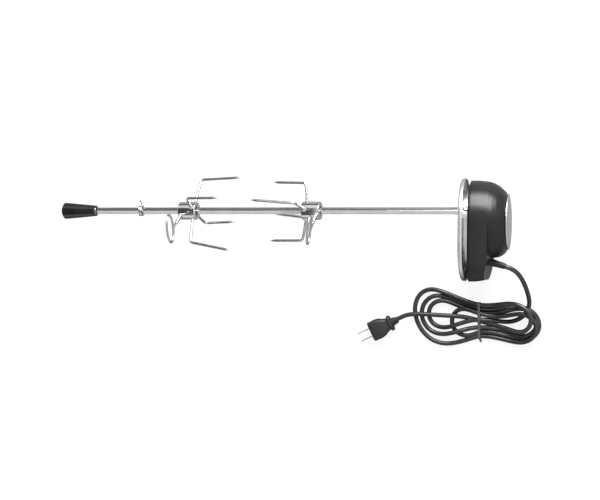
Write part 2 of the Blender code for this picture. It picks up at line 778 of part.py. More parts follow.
def make_stator(materials):
    motor = gear_places()[2]
    half = 15.0 * MM
    window_z = (16.1 * MM, 21.0 * MM)
    leg_end = 28.0 * MM
    side = 11.0 * MM

    def rectangle(y_half, z_low, z_high):
        return [(y_half, z_low), (y_half, z_high), (-y_half, z_high), (-y_half, z_low)]

    studs = [circle_outline(1.5 * MM, 8, y - motor[0], z - motor[1]) for y, z in stud_places()]
    core = flat(
        "stator_core",
        [rectangle(half, -half, leg_end), rectangle(side, *window_z), circle_outline(ROTOR_RADIUS + 1.1 * MM, 24)]
        + studs,
        *CORE_X, *motor, materials["core_steel"],
    )
    leg_middle = (window_z[1] + leg_end) / 2
    core_middle = (CORE_X[0] + CORE_X[1]) / 2
    outer = (16.0 * MM, 2 * (side - 0.4 * MM), 16.0 * MM)
    hole = (CORE_X[1] - CORE_X[0] + 2 * GAP, 4 * side, leg_end - window_z[1] + 2 * GAP)
    middle = in_motor(core_middle, motor[0], motor[1] + leg_middle)
    coil = box("motor_coil", outer, middle, materials["winding"])
    bevel = coil.modifiers.new("round", "BEVEL")
    bevel.width = 1.5 * MM
    bevel.segments = 2
    cut(coil, box("coil_hole", hole, middle, materials["winding"]))

    foot_x = CORE_X[1] + GAP
    strap_x = foot_x + 2.2 * MM
    turn = Matrix.Rotation(math.radians(45), 4, "X")
    strap_middle = in_motor(strap_x + 0.75 * MM, *motor)
    bridge = box("rotor_bridge", (1.5 * MM, 39.6 * MM, 6.0 * MM), strap_middle, materials["zinc"], turn)
    for number, sign in enumerate((-1, 1), 1):
        place = (motor[0] + sign * 12.6 * MM, motor[1] + sign * 12.6 * MM)
        foot = cylinder(
            f"bridge_foot_{number}", 2.0 * MM, in_motor(foot_x, *place), in_motor(strap_x + 0.5 * MM, *place),
            materials["zinc"], 10,
        )
        join(bridge, foot)
    cut(
        bridge,
        cylinder(
            "bridge_bore", 1.9 * MM, in_motor(strap_x - 2 * MM, *motor), in_motor(strap_x + 4 * MM, *motor),
            materials["zinc"], 12,
        ),
    )
    pieces = [core, coil, bridge]
    for number, place in enumerate(stud_places(), 1):
        steps = (
            (GEAR_PLATE_X + 0.3 * MM, 1.2 * MM), (GEAR_PLATE_X + SHEET + GAP, 2.6 * MM),
            (CORE_X[0] - GAP, 1.2 * MM), (CORE_X[1] + GAP, 2.3 * MM), (CORE_X[1] + 1.8 * MM, 0),
        )
        pieces.append(stepped_pin(f"stator_stud_{number}", steps, *place, materials["zinc"], sides=10))
    return pieces


def ring_points(x, outline):
    return [in_motor(x, y, z) for y, z in outline]


def make_mounting_plate(materials):
    def outline(inset):
        corner = HALF_DEPTH - inset - 0.5 * MM
        return rounded_outline(
            PLATE_BOTTOM + inset, PLATE_TOP - inset, HALF_DEPTH - inset, corner, corner
        )

    rings = [
        ring_points(PLATE_X + PLATE_RECESS, outline(PLATE_BORDER + 1.5 * MM)),
        ring_points(PLATE_X, outline(PLATE_BORDER)),
        ring_points(PLATE_X, outline(2.4 * MM)),
        ring_points(PLATE_X + 0.6 * MM, outline(0.8 * MM)),
        ring_points(PLATE_X + 2.2 * MM, outline(0.0)),
        ring_points(PLATE_X + PLATE_DEPTH, outline(0.0)),
    ]
    plate = loft("mounting_plate", rings, materials["chrome"], end_cap=False)
    thicken(plate, PLATE_SHEET)
    face = PLATE_X + PLATE_RECESS
    bushing_hole = 13.3 * MM
    cut(plate, hole_cutter("bushing_hole", face, bushing_hole, 0, 0, materials["chrome"], ROUND))
    pieces = [plate]
    for number, place in enumerate(plate_screw_places(), 1):
        cut(plate, hole_cutter(f"plate_hole_{number}", face, 2.2 * MM, *place, materials["chrome"]))
        steps = (
            (face - 2.3 * MM, 2.6 * MM), (face - 1.8 * MM, 4.0 * MM), (face - GAP, 1.8 * MM),
            (BASE_X + SHEET - 0.2 * MM, 0),
        )
        pieces.append(stepped_pin(f"plate_screw_{number}", steps, *place, materials["zinc"]))
    flange = [(face - 1.2 * MM, 15.5 * MM), (face - GAP, 15.5 * MM)]
    body = [(face - GAP, bushing_hole - GAP), (face + 5.0 * MM, bushing_hole - GAP)]
    bore = [(face + 5.0 * MM, SOCKET_RADIUS + GAP), (face - 1.2 * MM, SOCKET_RADIUS + GAP)]
    bushing = turned(
        "drive_bushing", flange + body + bore, in_motor(0, 0, 0), (1, 0, 0), materials["bronze"], closed=True
    )
    return pieces + [bushing]


def hole_cutter(name, x, radius, y, z, material, sides=SMALL_ROUND):
    reach = 5.0 * MM
    return cylinder(name, radius, in_motor(x - reach, y, z), in_motor(x + reach, y, z), material, sides)


def make_shroud(materials):
    def outline(inset):
        corner = SHROUD_HALF_DEPTH - inset - 0.5 * MM
        return rounded_outline(
            SHROUD_BOTTOM + inset, SHROUD_TOP - inset, SHROUD_HALF_DEPTH - inset, corner, corner, 7
        )

    start = PLATE_X + PLATE_RECESS + PLATE_SHEET + GAP
    end = BASE_X - GAP
    shroud = to_mesh(flat("gearbox_shroud", [outline(0), outline(SHROUD_WALL)], start, end, 0, 0, materials["chrome"]))
    centre = (SHROUD_TOP - SHROUD_HALF_DEPTH, 0.0)
    turn = math.radians(68.0)
    out = Vector((0.0, math.cos(turn), math.sin(turn)))
    x = (PLATE_X + PLATE_DEPTH + RIM_X) / 2
    origin = in_motor(x, *centre)
    wall = SHROUD_HALF_DEPTH
    hole = cylinder(
        "shroud_hole", 1.9 * MM, origin + out * (wall - 6 * MM), origin + out * (wall + 6 * MM),
        materials["chrome"], 12,
    )
    cut(shroud, hole)
    profile = [
        (wall - 5.0 * MM, 0.0), (wall - 5.0 * MM, 1.5 * MM), (wall + 0.3 * MM, 1.5 * MM),
        (wall + 0.3 * MM, 3.5 * MM), (wall + 2.4 * MM, 3.5 * MM), (wall + 2.9 * MM, 3.0 * MM),
        (wall + 2.9 * MM, 1.5 * MM), (wall + 1.2 * MM, 1.5 * MM), (wall + 1.2 * MM, 0.0),
    ]
    screw = turned("shroud_screw", profile, origin, out, materials["zinc"], sides=SMALL_ROUND)
    return shroud, screw


def make_housing(materials):
    def foot(x, inset):
        corner = HALF_DEPTH - inset - 0.5 * MM
        outline = rounded_outline(
            FOOT_BOTTOM + inset, HOUSING_TOP - inset, HALF_DEPTH - inset, FOOT_CORNER - inset, corner
        )
        slope = FOOT_SLOPE * (x - RIM_X) / (FOOT_BACK_X - RIM_X)
        return [in_motor(x + slope * min(0.0, y - DOME_BOTTOM), y, z) for y, z in outline]

    def dome(x, top, bottom):
        half = (top - bottom) / 2
        corner = half - 0.5 * MM
        return ring_points(x, rounded_outline(bottom, top, half, corner, corner))

    rings = [foot(RIM_X, 0.0), foot(RIM_X + 12 * MM, 0.2 * MM), foot(FOOT_BACK_X - 6.0 * MM, 1.2 * MM)]
    rings += [foot(FOOT_BACK_X - 1.6 * MM, 2.2 * MM), foot(FOOT_BACK_X - 0.3 * MM, 2.6 * MM)]
    rings += [dome(RIM_X + x * MM, top * MM, bottom * MM) for x, top, bottom in DOME_RINGS]
    housing = loft("motor_housing", rings, materials["black_plastic"], start_cap=False)
    thicken(housing, HOUSING_WALL)

    along_gland = Vector((math.cos(GLAND_TURN), math.sin(GLAND_TURN), 0.0))
    neck = 5.4 * MM
    cut(
        housing,
        cylinder(
            "gland_hole", neck + GAP, GLAND - along_gland * 9 * MM, GLAND + along_gland * 9 * MM,
            materials["black_plastic"], 20,
        ),
    )
    back_x = RIM_X + DOME_RINGS[-1][0] * MM
    pieces = [housing]
    head = 3.6 * MM
    shank = 1.8 * MM
    seat = back_x - 1.5 * MM
    for number, place in enumerate(housing_screw_places(), 1):
        cut(housing, hole_cutter(f"housing_hole_{number}", back_x, shank + 0.4 * MM, *place, materials["chrome"]))
        recess_start = in_motor(seat, *place)
        recess_end = in_motor(back_x + 3 * MM, *place)
        recess = cylinder(f"housing_recess_{number}", head + GAP, recess_start, recess_end, materials["chrome"])
        cut(housing, recess)
        steps = ((GEAR_PLATE_X + 0.3 * MM, shank), (seat + GAP, head), (back_x, 0))
        pieces.append(stepped_pin(f"housing_screw_{number}", steps, *place, materials["zinc"]))
    cap_x = back_x + GAP
    profile = [(0.0, 0.0), (0.0, CAP_RADIUS - 0.6 * MM), (0.4 * MM, CAP_RADIUS), (1.2 * MM, CAP_RADIUS)]
    profile += [
        (1.2 * MM + (CAP_BULGE - 1.2 * MM) * math.sin(turn), CAP_RADIUS * math.cos(turn) * 0.97)
        for turn in (math.pi / 2 * step / 6 for step in range(6))
    ]
    profile.append((CAP_BULGE, 0.0))
    cap = turned("back_cap", profile, in_motor(cap_x, CAP_Y, 0), (1, 0, 0), materials["cap_metal"], sides=40)
    return pieces + [cap]


def make_strain_relief(materials):
    along_gland = Vector((math.cos(GLAND_TURN), math.sin(GLAND_TURN), 0.0))
    neck = 5.4 * MM
    bore = CORD_RADIUS + GAP + 0.1 * MM
    profile = [
        (-6.5 * MM, neck + 1.6 * MM), (-5.0 * MM, neck + 1.6 * MM), (-5.0 * MM, neck),
        (6.0 * MM, neck), (GLAND_LENGTH, CORD_RADIUS + 1.0 * MM), (GLAND_LENGTH, bore), (-6.5 * MM, bore),
    ]
    return turned(
        "strain_relief", profile, GLAND, along_gland, materials["cord_jacket"], closed=True, sides=20
    )


# Cord

def make_cord(materials):
    jacket = materials["cord_jacket"]
    cord = wire("power_cord", smooth_points(CORD_ROUTE, 2), CORD_RADIUS, jacket)
    lead = wire("plug_lead", smooth_points(LEAD_ROUTE, 2), CORD_RADIUS, jacket)
    outline = [(point[0], point[1]) for point in smooth_points([(*p, 0.0) for p in HANK_OUTLINE], 3, cyclic=True)]
    curve = bpy.data.curves.new("cord_hank", "CURVE")
    curve.dimensions = "2D"
    curve.fill_mode = "BOTH"
    curve.extrude = (HANK_Z[1] - HANK_Z[0]) / 2
    spline = curve.splines.new("POLY")
    spline.points.add(len(outline) - 1)
    for point, (x, y) in zip(spline.points, outline):
        point.co = (x, y, 0.0, 1.0)
    spline.use_cyclic_u = True
    middle = Vector((0.0, 0.0, (HANK_Z[0] + HANK_Z[1]) / 2))
    hank = add_object("cord_hank", curve, Matrix.Translation(middle), jacket)

    waist = [point[1] for point in outline if TIE_X[0] - 9 * MM < point[0] < TIE_X[1] + 9 * MM]
    thickness = 1.2 * MM
    low_y = min(waist) - GAP
    high_y = max(waist) + GAP
    width = TIE_X[1] - TIE_X[0]
    height = HANK_Z[1] - HANK_Z[0] + 2 * GAP
    centre = Vector(((TIE_X[0] + TIE_X[1]) / 2, (low_y + high_y) / 2, middle[2]))
    tie = box(
        "hank_tie", (width, high_y - low_y + 2 * thickness, height + 2 * thickness), centre, materials["tie"]
    )
    cut(tie, box("tie_hole", (width * 2, high_y - low_y, height), centre, materials["tie"]))
    return cord, lead, hank, tie


def plug_frame():
    return Matrix.Translation(PLUG_FACE) @ Matrix.Rotation(PLUG_TURN, 4, "Z")


def make_plug(materials):
    """The plug's own frame has its blades along +X and its lead along -X."""
    frame = plug_frame()
    corner_share = 0.36

    def section(behind, width, height):
        corner = min(width, height) * corner_share * MM
        outline = rounded_outline(-width / 2 * MM, width / 2 * MM, height / 2 * MM, corner, corner, 3)
        return [frame @ Vector((-behind * MM, y, z)) for y, z in outline]

    rings = [section(*values) for values in reversed(PLUG_RINGS)]
    body = loft("plug_body", rings, materials["cord_jacket"])
    back = PLUG_RINGS[-1][0] * MM + GAP
    bore = CORD_RADIUS + GAP + 0.1 * MM
    ridges = []
    for number in range(3):
        start = number * 3.6 * MM
        radius = (7.0 - 0.8 * number) * MM
        ridges += [(start, radius), (start + 2.2 * MM, radius)]
        ridges += [(start + 2.2 * MM, radius - 1.3 * MM), (start + 3.6 * MM, radius - 1.3 * MM)]
    profile = ridges + [(10.8 * MM, bore), (0.0, bore)]
    backwards = frame.to_3x3() @ Vector((-1.0, 0.0, 0.0))
    origin = frame @ Vector((-back, 0.0, 0.0))
    boot = turned("plug_boot", profile, origin, backwards, materials["cord_jacket"], closed=True, sides=20)
    blades = []
    for number, side in enumerate((-1, 1), 1):
        centre = frame @ Vector((BLADE[0] / 2 + GAP, side * BLADE_SPACING / 2, 0.0))
        turn = Matrix.Rotation(PLUG_TURN, 4, "Z")
        blade = box(f"plug_blade_{number}", BLADE, centre, materials["brass"], turn)
        bevel = blade.modifiers.new("chamfer", "BEVEL")
        bevel.width = 0.4 * MM
        bevel.segments = 1
        blades.append(blade)
    return body, boot, *blades


def shade(pieces):
    for piece in pieces:
        if piece.type == "MESH":
            piece.data.shade_smooth()
            piece.data.set_sharp_from_angle(angle=math.radians(35))


def main():
    global parts, cutters
    clear_scene()
    parts = new_collection("Rotisserie spit roaster")
    cutters = new_collection("Cutters")
    materials = make_materials()

    motor = make_empty("motor_frame", in_motor(PLATE_X, 0, 0))
    drive = make_empty("drive_axis", in_motor(SOCKET_X[0], 0, 0))
    spit = make_empty("spit_slide", in_motor(SOCKET_X[0], 0, 0))
    attach(drive, spit)
    attach(spit, *make_spit(materials))
    bushing, bushing_screw = make_bushing(materials)
    bushing_slide = make_empty("bushing_slide", from_spit(BUSHING_X))
    attach(spit, bushing_slide)
    attach(bushing_slide, bushing, bushing_screw)
    for side, fork in FORKS.items():
        pieces, screw, screw_place = make_fork(side, fork, materials)
        slide = make_empty(f"{side}_fork_slide", from_spit(fork["face_x"]))
        turn = make_empty(f"{side}_thumbscrew_turn", screw_place)
        attach(spit, slide)
        attach(slide, turn, *pieces)
        attach(turn, screw)

    output, gear_one, gear_two, pinion, rotor = make_gears(materials)
    attach(drive, output, make_socket(materials))
    one, two, motor_place = gear_places()
    attach(make_empty("gear_one_axis", in_motor(INPUT_X[0], *one)), gear_one)
    attach(make_empty("gear_two_axis", in_motor(MIDDLE_X[0], *two)), gear_two)
    attach(make_empty("rotor_axis", in_motor(ROTOR_X[0], *motor_place)), rotor, pinion)
    attach(motor, *make_gearbox_plates(materials), *make_stator(materials))
    attach(motor, *make_mounting_plate(materials), *make_shroud(materials))
    attach(motor, *make_housing(materials), make_strain_relief(materials))
    attach(motor, *make_cord(materials), *make_plug(materials))
    shade(parts.objects)


main()
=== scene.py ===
"""Looks for the rotisserie spit roaster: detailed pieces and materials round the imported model.

The spit lies along X with the motor at +X, the motor's foot points to -Y, and the motor and cord
rest on z = 0. Lengths are in metres. Directions round the spit are angles from -Z through +Y, as in the
CAD model, and places come from the CAD nodes' boxes.
"""

import math

import bmesh
import bpy
from mathutils import Matrix, Vector


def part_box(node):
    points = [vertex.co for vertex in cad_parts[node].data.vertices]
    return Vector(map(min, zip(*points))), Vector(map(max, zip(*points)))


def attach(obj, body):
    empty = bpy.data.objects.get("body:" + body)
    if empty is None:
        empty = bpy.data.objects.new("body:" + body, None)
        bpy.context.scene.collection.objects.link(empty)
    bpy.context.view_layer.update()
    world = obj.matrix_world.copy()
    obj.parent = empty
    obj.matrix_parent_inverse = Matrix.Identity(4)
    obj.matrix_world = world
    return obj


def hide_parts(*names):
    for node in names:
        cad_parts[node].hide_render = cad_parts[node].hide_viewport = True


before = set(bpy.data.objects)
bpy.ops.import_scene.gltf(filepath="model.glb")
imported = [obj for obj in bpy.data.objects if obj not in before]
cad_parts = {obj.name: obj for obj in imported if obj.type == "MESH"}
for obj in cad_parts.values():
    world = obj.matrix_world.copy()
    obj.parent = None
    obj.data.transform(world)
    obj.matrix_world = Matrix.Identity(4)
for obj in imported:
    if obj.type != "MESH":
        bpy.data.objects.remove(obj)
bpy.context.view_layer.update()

MM = 0.001
X_AXIS = Vector((1.0, 0.0, 0.0))
FINE = 72           # sides of a large turned piece
MEDIUM = 40
SMALL = 24

rod_low, rod_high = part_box("spit_rod")
SPIT_Y = (rod_low.y + rod_high.y) / 2
SPIT_Z = (rod_low.z + rod_high.z) / 2


def add_object(name, data):
    thing = bpy.data.objects.new(name, data)
    bpy.context.scene.collection.objects.link(thing)
    return thing


# Camera, floor and light

CAMERA_PLACE = Vector((493.5, -35.7, 1644.1)) * MM
CAMERA_TURN = math.radians(15.9)
CAMERA_ROLL = math.radians(0.575)
CAMERA_LENS = 65.16


def make_camera():
    """Looks down on the spit, turned a little towards the handle."""
    across = Vector((math.cos(CAMERA_TURN), 0.0, -math.sin(CAMERA_TURN)))
    back = Vector((math.sin(CAMERA_TURN), 0.0, math.cos(CAMERA_TURN)))
    up = Vector((0.0, 1.0, 0.0))
    right = across * math.cos(CAMERA_ROLL) + up * math.sin(CAMERA_ROLL)
    above = up * math.cos(CAMERA_ROLL) - across * math.sin(CAMERA_ROLL)
    camera = add_object("camera", bpy.data.cameras.new("camera"))
    camera.data.lens = CAMERA_LENS
    camera.data.sensor_width = 36.0
    camera.data.clip_start = 0.05
    camera.data.clip_end = 20.0
    turned = Matrix((right, above, back)).transposed().to_4x4()
    camera.matrix_world = Matrix.Translation(CAMERA_PLACE) @ turned
    bpy.context.scene.camera = camera


def make_floor():
    mesh = bpy.data.meshes.new("floor")
    shape = bmesh.new()
    long_and_narrow = Matrix.Diagonal((1.0, 0.6, 1.0, 1.0))
    bmesh.ops.create_grid(shape, x_segments=10, y_segments=6, size=1.0, matrix=long_and_narrow)
    shape.to_mesh(mesh)
    shape.free()
    floor = add_object("floor", mesh)
    floor.location.z = -0.2 * MM
    mesh.materials.append(floor_material())


def make_light():
    """One softbox, high up past the motor's top side, aimed at the spit."""
    place = Vector((0.62, 1.2, 0.86))
    target = Vector((0.25, 0.0, 0.05))
    light = bpy.data.lights.new("softbox", "AREA")
    light.shape = "RECTANGLE"
    light.size = 1.2
    light.size_y = 1.1
    light.energy = 62.0
    lamp = add_object("softbox", light)
    lamp.location = place
    lamp.visible_camera = False
    lamp.rotation_euler = (target - place).to_track_quat("-Z", "Y").to_euler()


def make_world():
    """A white tent, darker towards the +Y horizon and in one patch overhead, for chrome to show."""
    world = bpy.data.worlds.new("tent")
    bpy.context.scene.world = world
    world.use_nodes = True
    tree = world.node_tree
    background = tree.nodes["Background"]
    direction = tree.nodes.new("ShaderNodeTexCoord").outputs["Generated"]
    split = tree.nodes.new("ShaderNodeSeparateXYZ")
    tree.links.new(direction, split.inputs[0])

    def window(axis, low, rise, high, fall):
        up = map_range(tree, split.outputs[axis], low, low + rise, 0.0, 1.0)
        down = map_range(tree, split.outputs[axis], high, high + fall, 1.0, 0.0)
        return math_node(tree, "MULTIPLY", up, down)

    overhead = math_node(
        tree, "MULTIPLY", window("X", -0.75, 0.1, -0.24, 0.06), window("Y", -0.86, 0.06, 0.5, 0.06)
    )
    overhead = math_node(tree, "MULTIPLY", overhead, window("Z", 0.4, 0.1, 1.2, 0.1))
    horizon = math_node(
        tree, "MULTIPLY", window("Y", 0.70, 0.2, 1.2, 0.1), window("Z", -0.16, 0.1, 0.20, 0.1)
    )
    dark = math_node(tree, "MAXIMUM", overhead, horizon)
    seen = tree.nodes.new("ShaderNodeLightPath").outputs["Is Camera Ray"]
    level = math_node(tree, "MAXIMUM", map_range(tree, dark, 0.0, 1.0, 0.9, 0.08), seen)
    tree.links.new(level, background.inputs["Strength"])
    background.inputs["Color"].default_value = (1.0, 1.0, 1.0, 1.0)


# Shader nodes

def grey(level):
    return (level, level, level)


def set_inputs(node, values):
    for name, value in values.items():
        node.inputs[name].default_value = value


def map_range(tree, value, low, high, to_low, to_high):
    node = tree.nodes.new("ShaderNodeMapRange")
    node.interpolation_type = "SMOOTHSTEP"
    tree.links.new(value, node.inputs["Value"])
    set_inputs(node, {"From Min": low, "From Max": high, "To Min": to_low, "To Max": to_high})
    return node.outputs["Result"]


def math_node(tree, operation, *values):
    node = tree.nodes.new("ShaderNodeMath")
    node.operation = operation
    for socket, value in zip(node.inputs, values):
        if isinstance(value, (int, float)):
            socket.default_value = value
        else:
            tree.links.new(value, socket)
    return node.outputs[0]


def new_shader(name, roughness, metallic=0.0, coat=0.0, specular=0.5):
    material = bpy.data.materials.new(name)
    material.use_nodes = True
    tree = material.node_tree
    shader = tree.nodes["Principled BSDF"]
    set_inputs(shader, {"Roughness": roughness, "Metallic": metallic})
    set_inputs(shader, {"Coat Weight": coat, "Specular IOR Level": specular})
    return material, tree, shader


def own_coordinates(tree, location, scale):
    """The piece's own coordinates, moved and scaled."""
    coordinates = tree.nodes.new("ShaderNodeTexCoord").outputs["Object"]
    mapping = tree.nodes.new("ShaderNodeMapping")
    set_inputs(mapping, {"Location": location, "Scale": scale})
    tree.links.new(coordinates, mapping.inputs["Vector"])
    return mapping.outputs[0]


def noise(tree, scale, stretch=(1.0, 1.0, 1.0), detail=4.0):
    """Noise over the piece's own coordinates, whose scale is in features per metre."""
    texture = tree.nodes.new("ShaderNodeTexNoise")
    set_inputs(texture, {"Scale": scale, "Detail": detail})
    tree.links.new(own_coordinates(tree, (0.0, 0.0, 0.0), stretch), texture.inputs["Vector"])
    return texture.outputs["Fac"]


def ring_noise(tree, centre, scale):
    """Noise that changes only with the distance from a line along X, as turning marks do."""
    across = own_coordinates(tree, (0.0, -centre[0], -centre[1]), (0.0, 1.0, 1.0))
    length = tree.nodes.new("ShaderNodeVectorMath")
    length.operation = "LENGTH"
    tree.links.new(across, length.inputs[0])
    texture = tree.nodes.new("ShaderNodeTexNoise")
    texture.noise_dimensions = "1D"
    set_inputs(texture, {"Scale": scale, "Detail": 5.0})
    tree.links.new(length.outputs["Value"], texture.inputs["W"])
    return texture.outputs["Fac"]


def blend_color(tree, shader, value, dark, light):
    ramp = tree.nodes.new("ShaderNodeValToRGB")
    ramp.color_ramp.elements[0].position = 0.3
    ramp.color_ramp.elements[1].position = 0.7
    ramp.color_ramp.elements[0].color = (*dark, 1.0)
    ramp.color_ramp.elements[1].color = (*light, 1.0)
    tree.links.new(value, ramp.inputs["Fac"])
    tree.links.new(ramp.outputs["Color"], shader.inputs["Base Color"])


def vary_roughness(tree, shader, value, low, high):
    tree.links.new(map_range(tree, value, 0.3, 0.7, low, high), shader.inputs["Roughness"])


def add_bump(tree, shader, value, strength, depth):
    bump = tree.nodes.new("ShaderNodeBump")
    set_inputs(bump, {"Strength": strength, "Distance": depth})
    tree.links.new(value, bump.inputs["Height"])
    tree.links.new(bump.outputs["Normal"], shader.inputs["Normal"])


def metal(name, dark, light, roughness, grain, grain_scale, strength=0.25, marks=60.0):
    """Polished or drawn metal, with fine lines along one way and a soft change of tone."""
    material, tree, shader = new_shader(name, roughness[0], metallic=1.0)
    blend_color(tree, shader, noise(tree, marks, detail=5.0), dark, light)
    lines = noise(tree, grain_scale, grain, detail=3.0)
    vary_roughness(tree, shader, lines, *roughness)
    add_bump(tree, shader, lines, strength, 0.03 * MM)
    return material


def plastic(name, dark, light, roughness, texture_scale, strength, coat=0.0, specular=0.5):
    """Moulded plastic with a fine even texture and slightly uneven gloss."""
    material, tree, shader = new_shader(name, roughness[0], coat=coat, specular=specular)
    blend_color(tree, shader, noise(tree, 45.0, detail=6.0), dark, light)
    vary_roughness(tree, shader, noise(tree, 110.0, detail=4.0), *roughness)
    add_bump(tree, shader, noise(tree, texture_scale, detail=2.0), strength, 0.05 * MM)
    return material


def floor_material():
    material, tree, shader = new_shader("floor", 0.8)
    blend_color(tree, shader, noise(tree, 3.0), grey(0.14), grey(0.17))
    shader.inputs["Emission Color"].default_value = (1.0, 1.0, 1.0, 1.0)
    seen = tree.nodes.new("ShaderNodeLightPath").outputs["Is Camera Ray"]
    glow = map_range(tree, seen, 0.0, 1.0, 0.12, 0.85)
    tree.links.new(glow, shader.inputs["Emission Strength"])
    return material


def cap_material():
    low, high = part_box("back_cap")
    centre = ((low.y + high.y) / 2, (low.z + high.z) / 2)
    material, tree, shader = new_shader("brushed_cap", 0.3, metallic=1.0)
    rings = ring_noise(tree, centre, 2600.0)
    blend_color(tree, shader, noise(tree, 40.0), (0.56, 0.56, 0.57), (0.66, 0.66, 0.67))
    vary_roughness(tree, shader, rings, 0.24, 0.38)
    add_bump(tree, shader, rings, 0.35, 0.03 * MM)
    return material


def zinc_material():
    material, tree, shader = new_shader("zinc_plate", 0.35, metallic=1.0)
    coordinates = tree.nodes.new("ShaderNodeTexCoord").outputs["Object"]
    cells = tree.nodes.new("ShaderNodeTexVoronoi")
    cells.inputs["Scale"].default_value = 420.0
    tree.links.new(coordinates, cells.inputs["Vector"])
    spangle = tree.nodes.new("ShaderNodeSeparateColor")
    tree.links.new(cells.outputs["Color"], spangle.inputs[0])
    blend_color(tree, shader, spangle.outputs[0], (0.52, 0.52, 0.50), (0.68, 0.68, 0.66))
    vary_roughness(tree, shader, noise(tree, 300.0), 0.28, 0.45)
    return material


def layered_material(name, dark, light, roughness, metallic, axis_scale, bands):
    """Stacked sheets or wound wire: fine bands across one direction."""
    material, tree, shader = new_shader(name, roughness, metallic=metallic)
    value = noise(tree, bands, axis_scale, detail=1.0)
    blend_color(tree, shader, value, dark, light)
    add_bump(tree, shader, value, 0.6, 0.1 * MM)
    return material


def make_materials():
    round_x = (1.0, 0.06, 0.06)
    along_x = (0.012, 1.0, 1.0)
    even = (1.0, 1.0, 1.0)
    return {
        "chrome": metal(
            "chrome", (0.64, 0.64, 0.65), (0.74, 0.74, 0.75), (0.07, 0.17), round_x, 2600.0, 0.12,
        ),
        "plate": metal(
            "plate_chrome", (0.62, 0.62, 0.63), (0.70, 0.70, 0.71), (0.24, 0.36), round_x, 2200.0, 0.15,
        ),
        "wire": metal(
            "wire_chrome", (0.44, 0.44, 0.45), (0.54, 0.54, 0.55), (0.12, 0.26), even, 900.0, 0.2, 140.0,
        ),
        "rod": metal(
            "rod_steel", (0.62, 0.62, 0.63), (0.70, 0.70, 0.71), (0.18, 0.26), along_x, 1500.0, 0.3,
        ),
        "bronze": metal("bronze", (0.48, 0.32, 0.16), (0.62, 0.43, 0.23), (0.30, 0.45), even, 1500.0),
        "brass": metal("blade_plate", (0.66, 0.62, 0.50), (0.80, 0.77, 0.66), (0.18, 0.30), even, 1200.0),
        "zinc": zinc_material(),
        "cap": cap_material(),
        "housing": plastic(
            "housing_plastic", grey(0.004), grey(0.007), (0.27, 0.35), 2400.0, 0.25, specular=0.36,
        ),
        "grip": plastic(
            "grip_plastic", grey(0.006), (0.012, 0.012, 0.013), (0.12, 0.24), 350.0, 0.05, coat=0.3,
        ),
        "jacket": plastic("cord_jacket", grey(0.006), grey(0.012), (0.32, 0.42), 1800.0, 0.25, specular=0.75),
        "moulding": plastic("plug_moulding", grey(0.008), grey(0.013), (0.38, 0.50), 2200.0, 0.3),
        "tie": plastic("tie_plastic", grey(0.06), grey(0.11), (0.35, 0.5), 2000.0, 0.3),
        "nylon": plastic("gear_nylon", (0.70, 0.68, 0.61), (0.80, 0.78, 0.72), (0.35, 0.5), 900.0, 0.1),
        "core": layered_material(
            "laminations", (0.16, 0.16, 0.17), (0.36, 0.36, 0.38), 0.45, 0.9, (1.0, 0.01, 0.01), 1800.0
        ),
        "winding": layered_material(
            "winding", (0.30, 0.10, 0.03), (0.55, 0.24, 0.09), 0.35, 0.7, (0.02, 0.02, 1.0), 2600.0
        ),
    }


MATERIALS = {}


# Mesh helpers

def from_spit(x, reach=0.0, angle=0.0):
    turn = math.radians(angle)
    return Vector((x, SPIT_Y + reach * math.sin(turn), SPIT_Z - reach * math.cos(turn)))


def outward(angle):
    return from_spit(0.0, 1.0, angle) - from_spit(0.0)


def near_spit(x, y=0.0, z=0.0):
    return Vector((x, SPIT_Y + y, SPIT_Z + z))


def frame_along(origin, axis, twist=0.0):
    """A frame at the origin whose Z is along the axis."""
    turn = Vector(axis).to_track_quat("Z", "Y").to_matrix().to_4x4()
    return Matrix.Translation(origin) @ turn @ Matrix.Rotation(twist, 4, "Z")


def add_piece(name, shape, material, body, replaces, smooth=40.0):
    """Turn a finished bmesh into a piece that rides on a body and stands for CAD nodes."""
    mesh = bpy.data.meshes.new(name)
    bmesh.ops.recalc_face_normals(shape, faces=shape.faces)
    shape.to_mesh(mesh)
    shape.free()
    mesh.shade_smooth()
    mesh.set_sharp_from_angle(angle=math.radians(smooth))
    mesh.materials.append(MATERIALS[material])
    piece = add_object(name, mesh)
    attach(piece, body)
    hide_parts(*replaces)
    return piece


def skin(shape, rings, closed=False):
    """Faces between rings of points, with the ends capped. A ring of one point is a pole."""
    rows = [[shape.verts.new(point) for point in ring] for ring in rings]
    pairs = list(zip(rows, rows[1:]))
    if closed:
        pairs.append((rows[-1], rows[0]))
    for row, other in pairs:
        count = max(len(row), len(other))
        for index in range(count):
            after = (index + 1) % count
            corners = list(dict.fromkeys((
                row[index % len(row)], row[after % len(row)],
                other[after % len(other)], other[index % len(other)],
            )))
            if len(corners) > 2:
                shape.faces.new(corners)
    for row in () if closed else (rows[0], rows[-1]):
        if len(row) > 2:
            shape.faces.new(row)


def rounded(profile, radius, closed=False, steps=4):
    """The profile with each corner replaced by an arc of that radius, or less where sides are short."""
    points = [Vector(point) for point in profile]
    count = len(points)
    result = []
    for index, point in enumerate(points):
        if not closed and index in (0, count - 1):
            result.append(tuple(point))
            continue
        before = points[index - 1] - point
        after = points[(index + 1) % count] - point
        angle = before.angle(after)
        if angle > math.radians(172) or min(before.length, after.length) < 1e-7:
            result.append(tuple(point))
            continue
        reach = min(radius / math.tan(angle / 2), 0.45 * before.length, 0.45 * after.length)
        start = point + before.normalized() * reach
        end = point + after.normalized() * reach
        for step in range(steps + 1):
            part = step / steps
            result.append(tuple(start * (1 - part) ** 2 + point * 2 * part * (1 - part) + end * part ** 2))
    return result


def turns(sides):
    return [math.tau * side / sides for side in range(sides)]


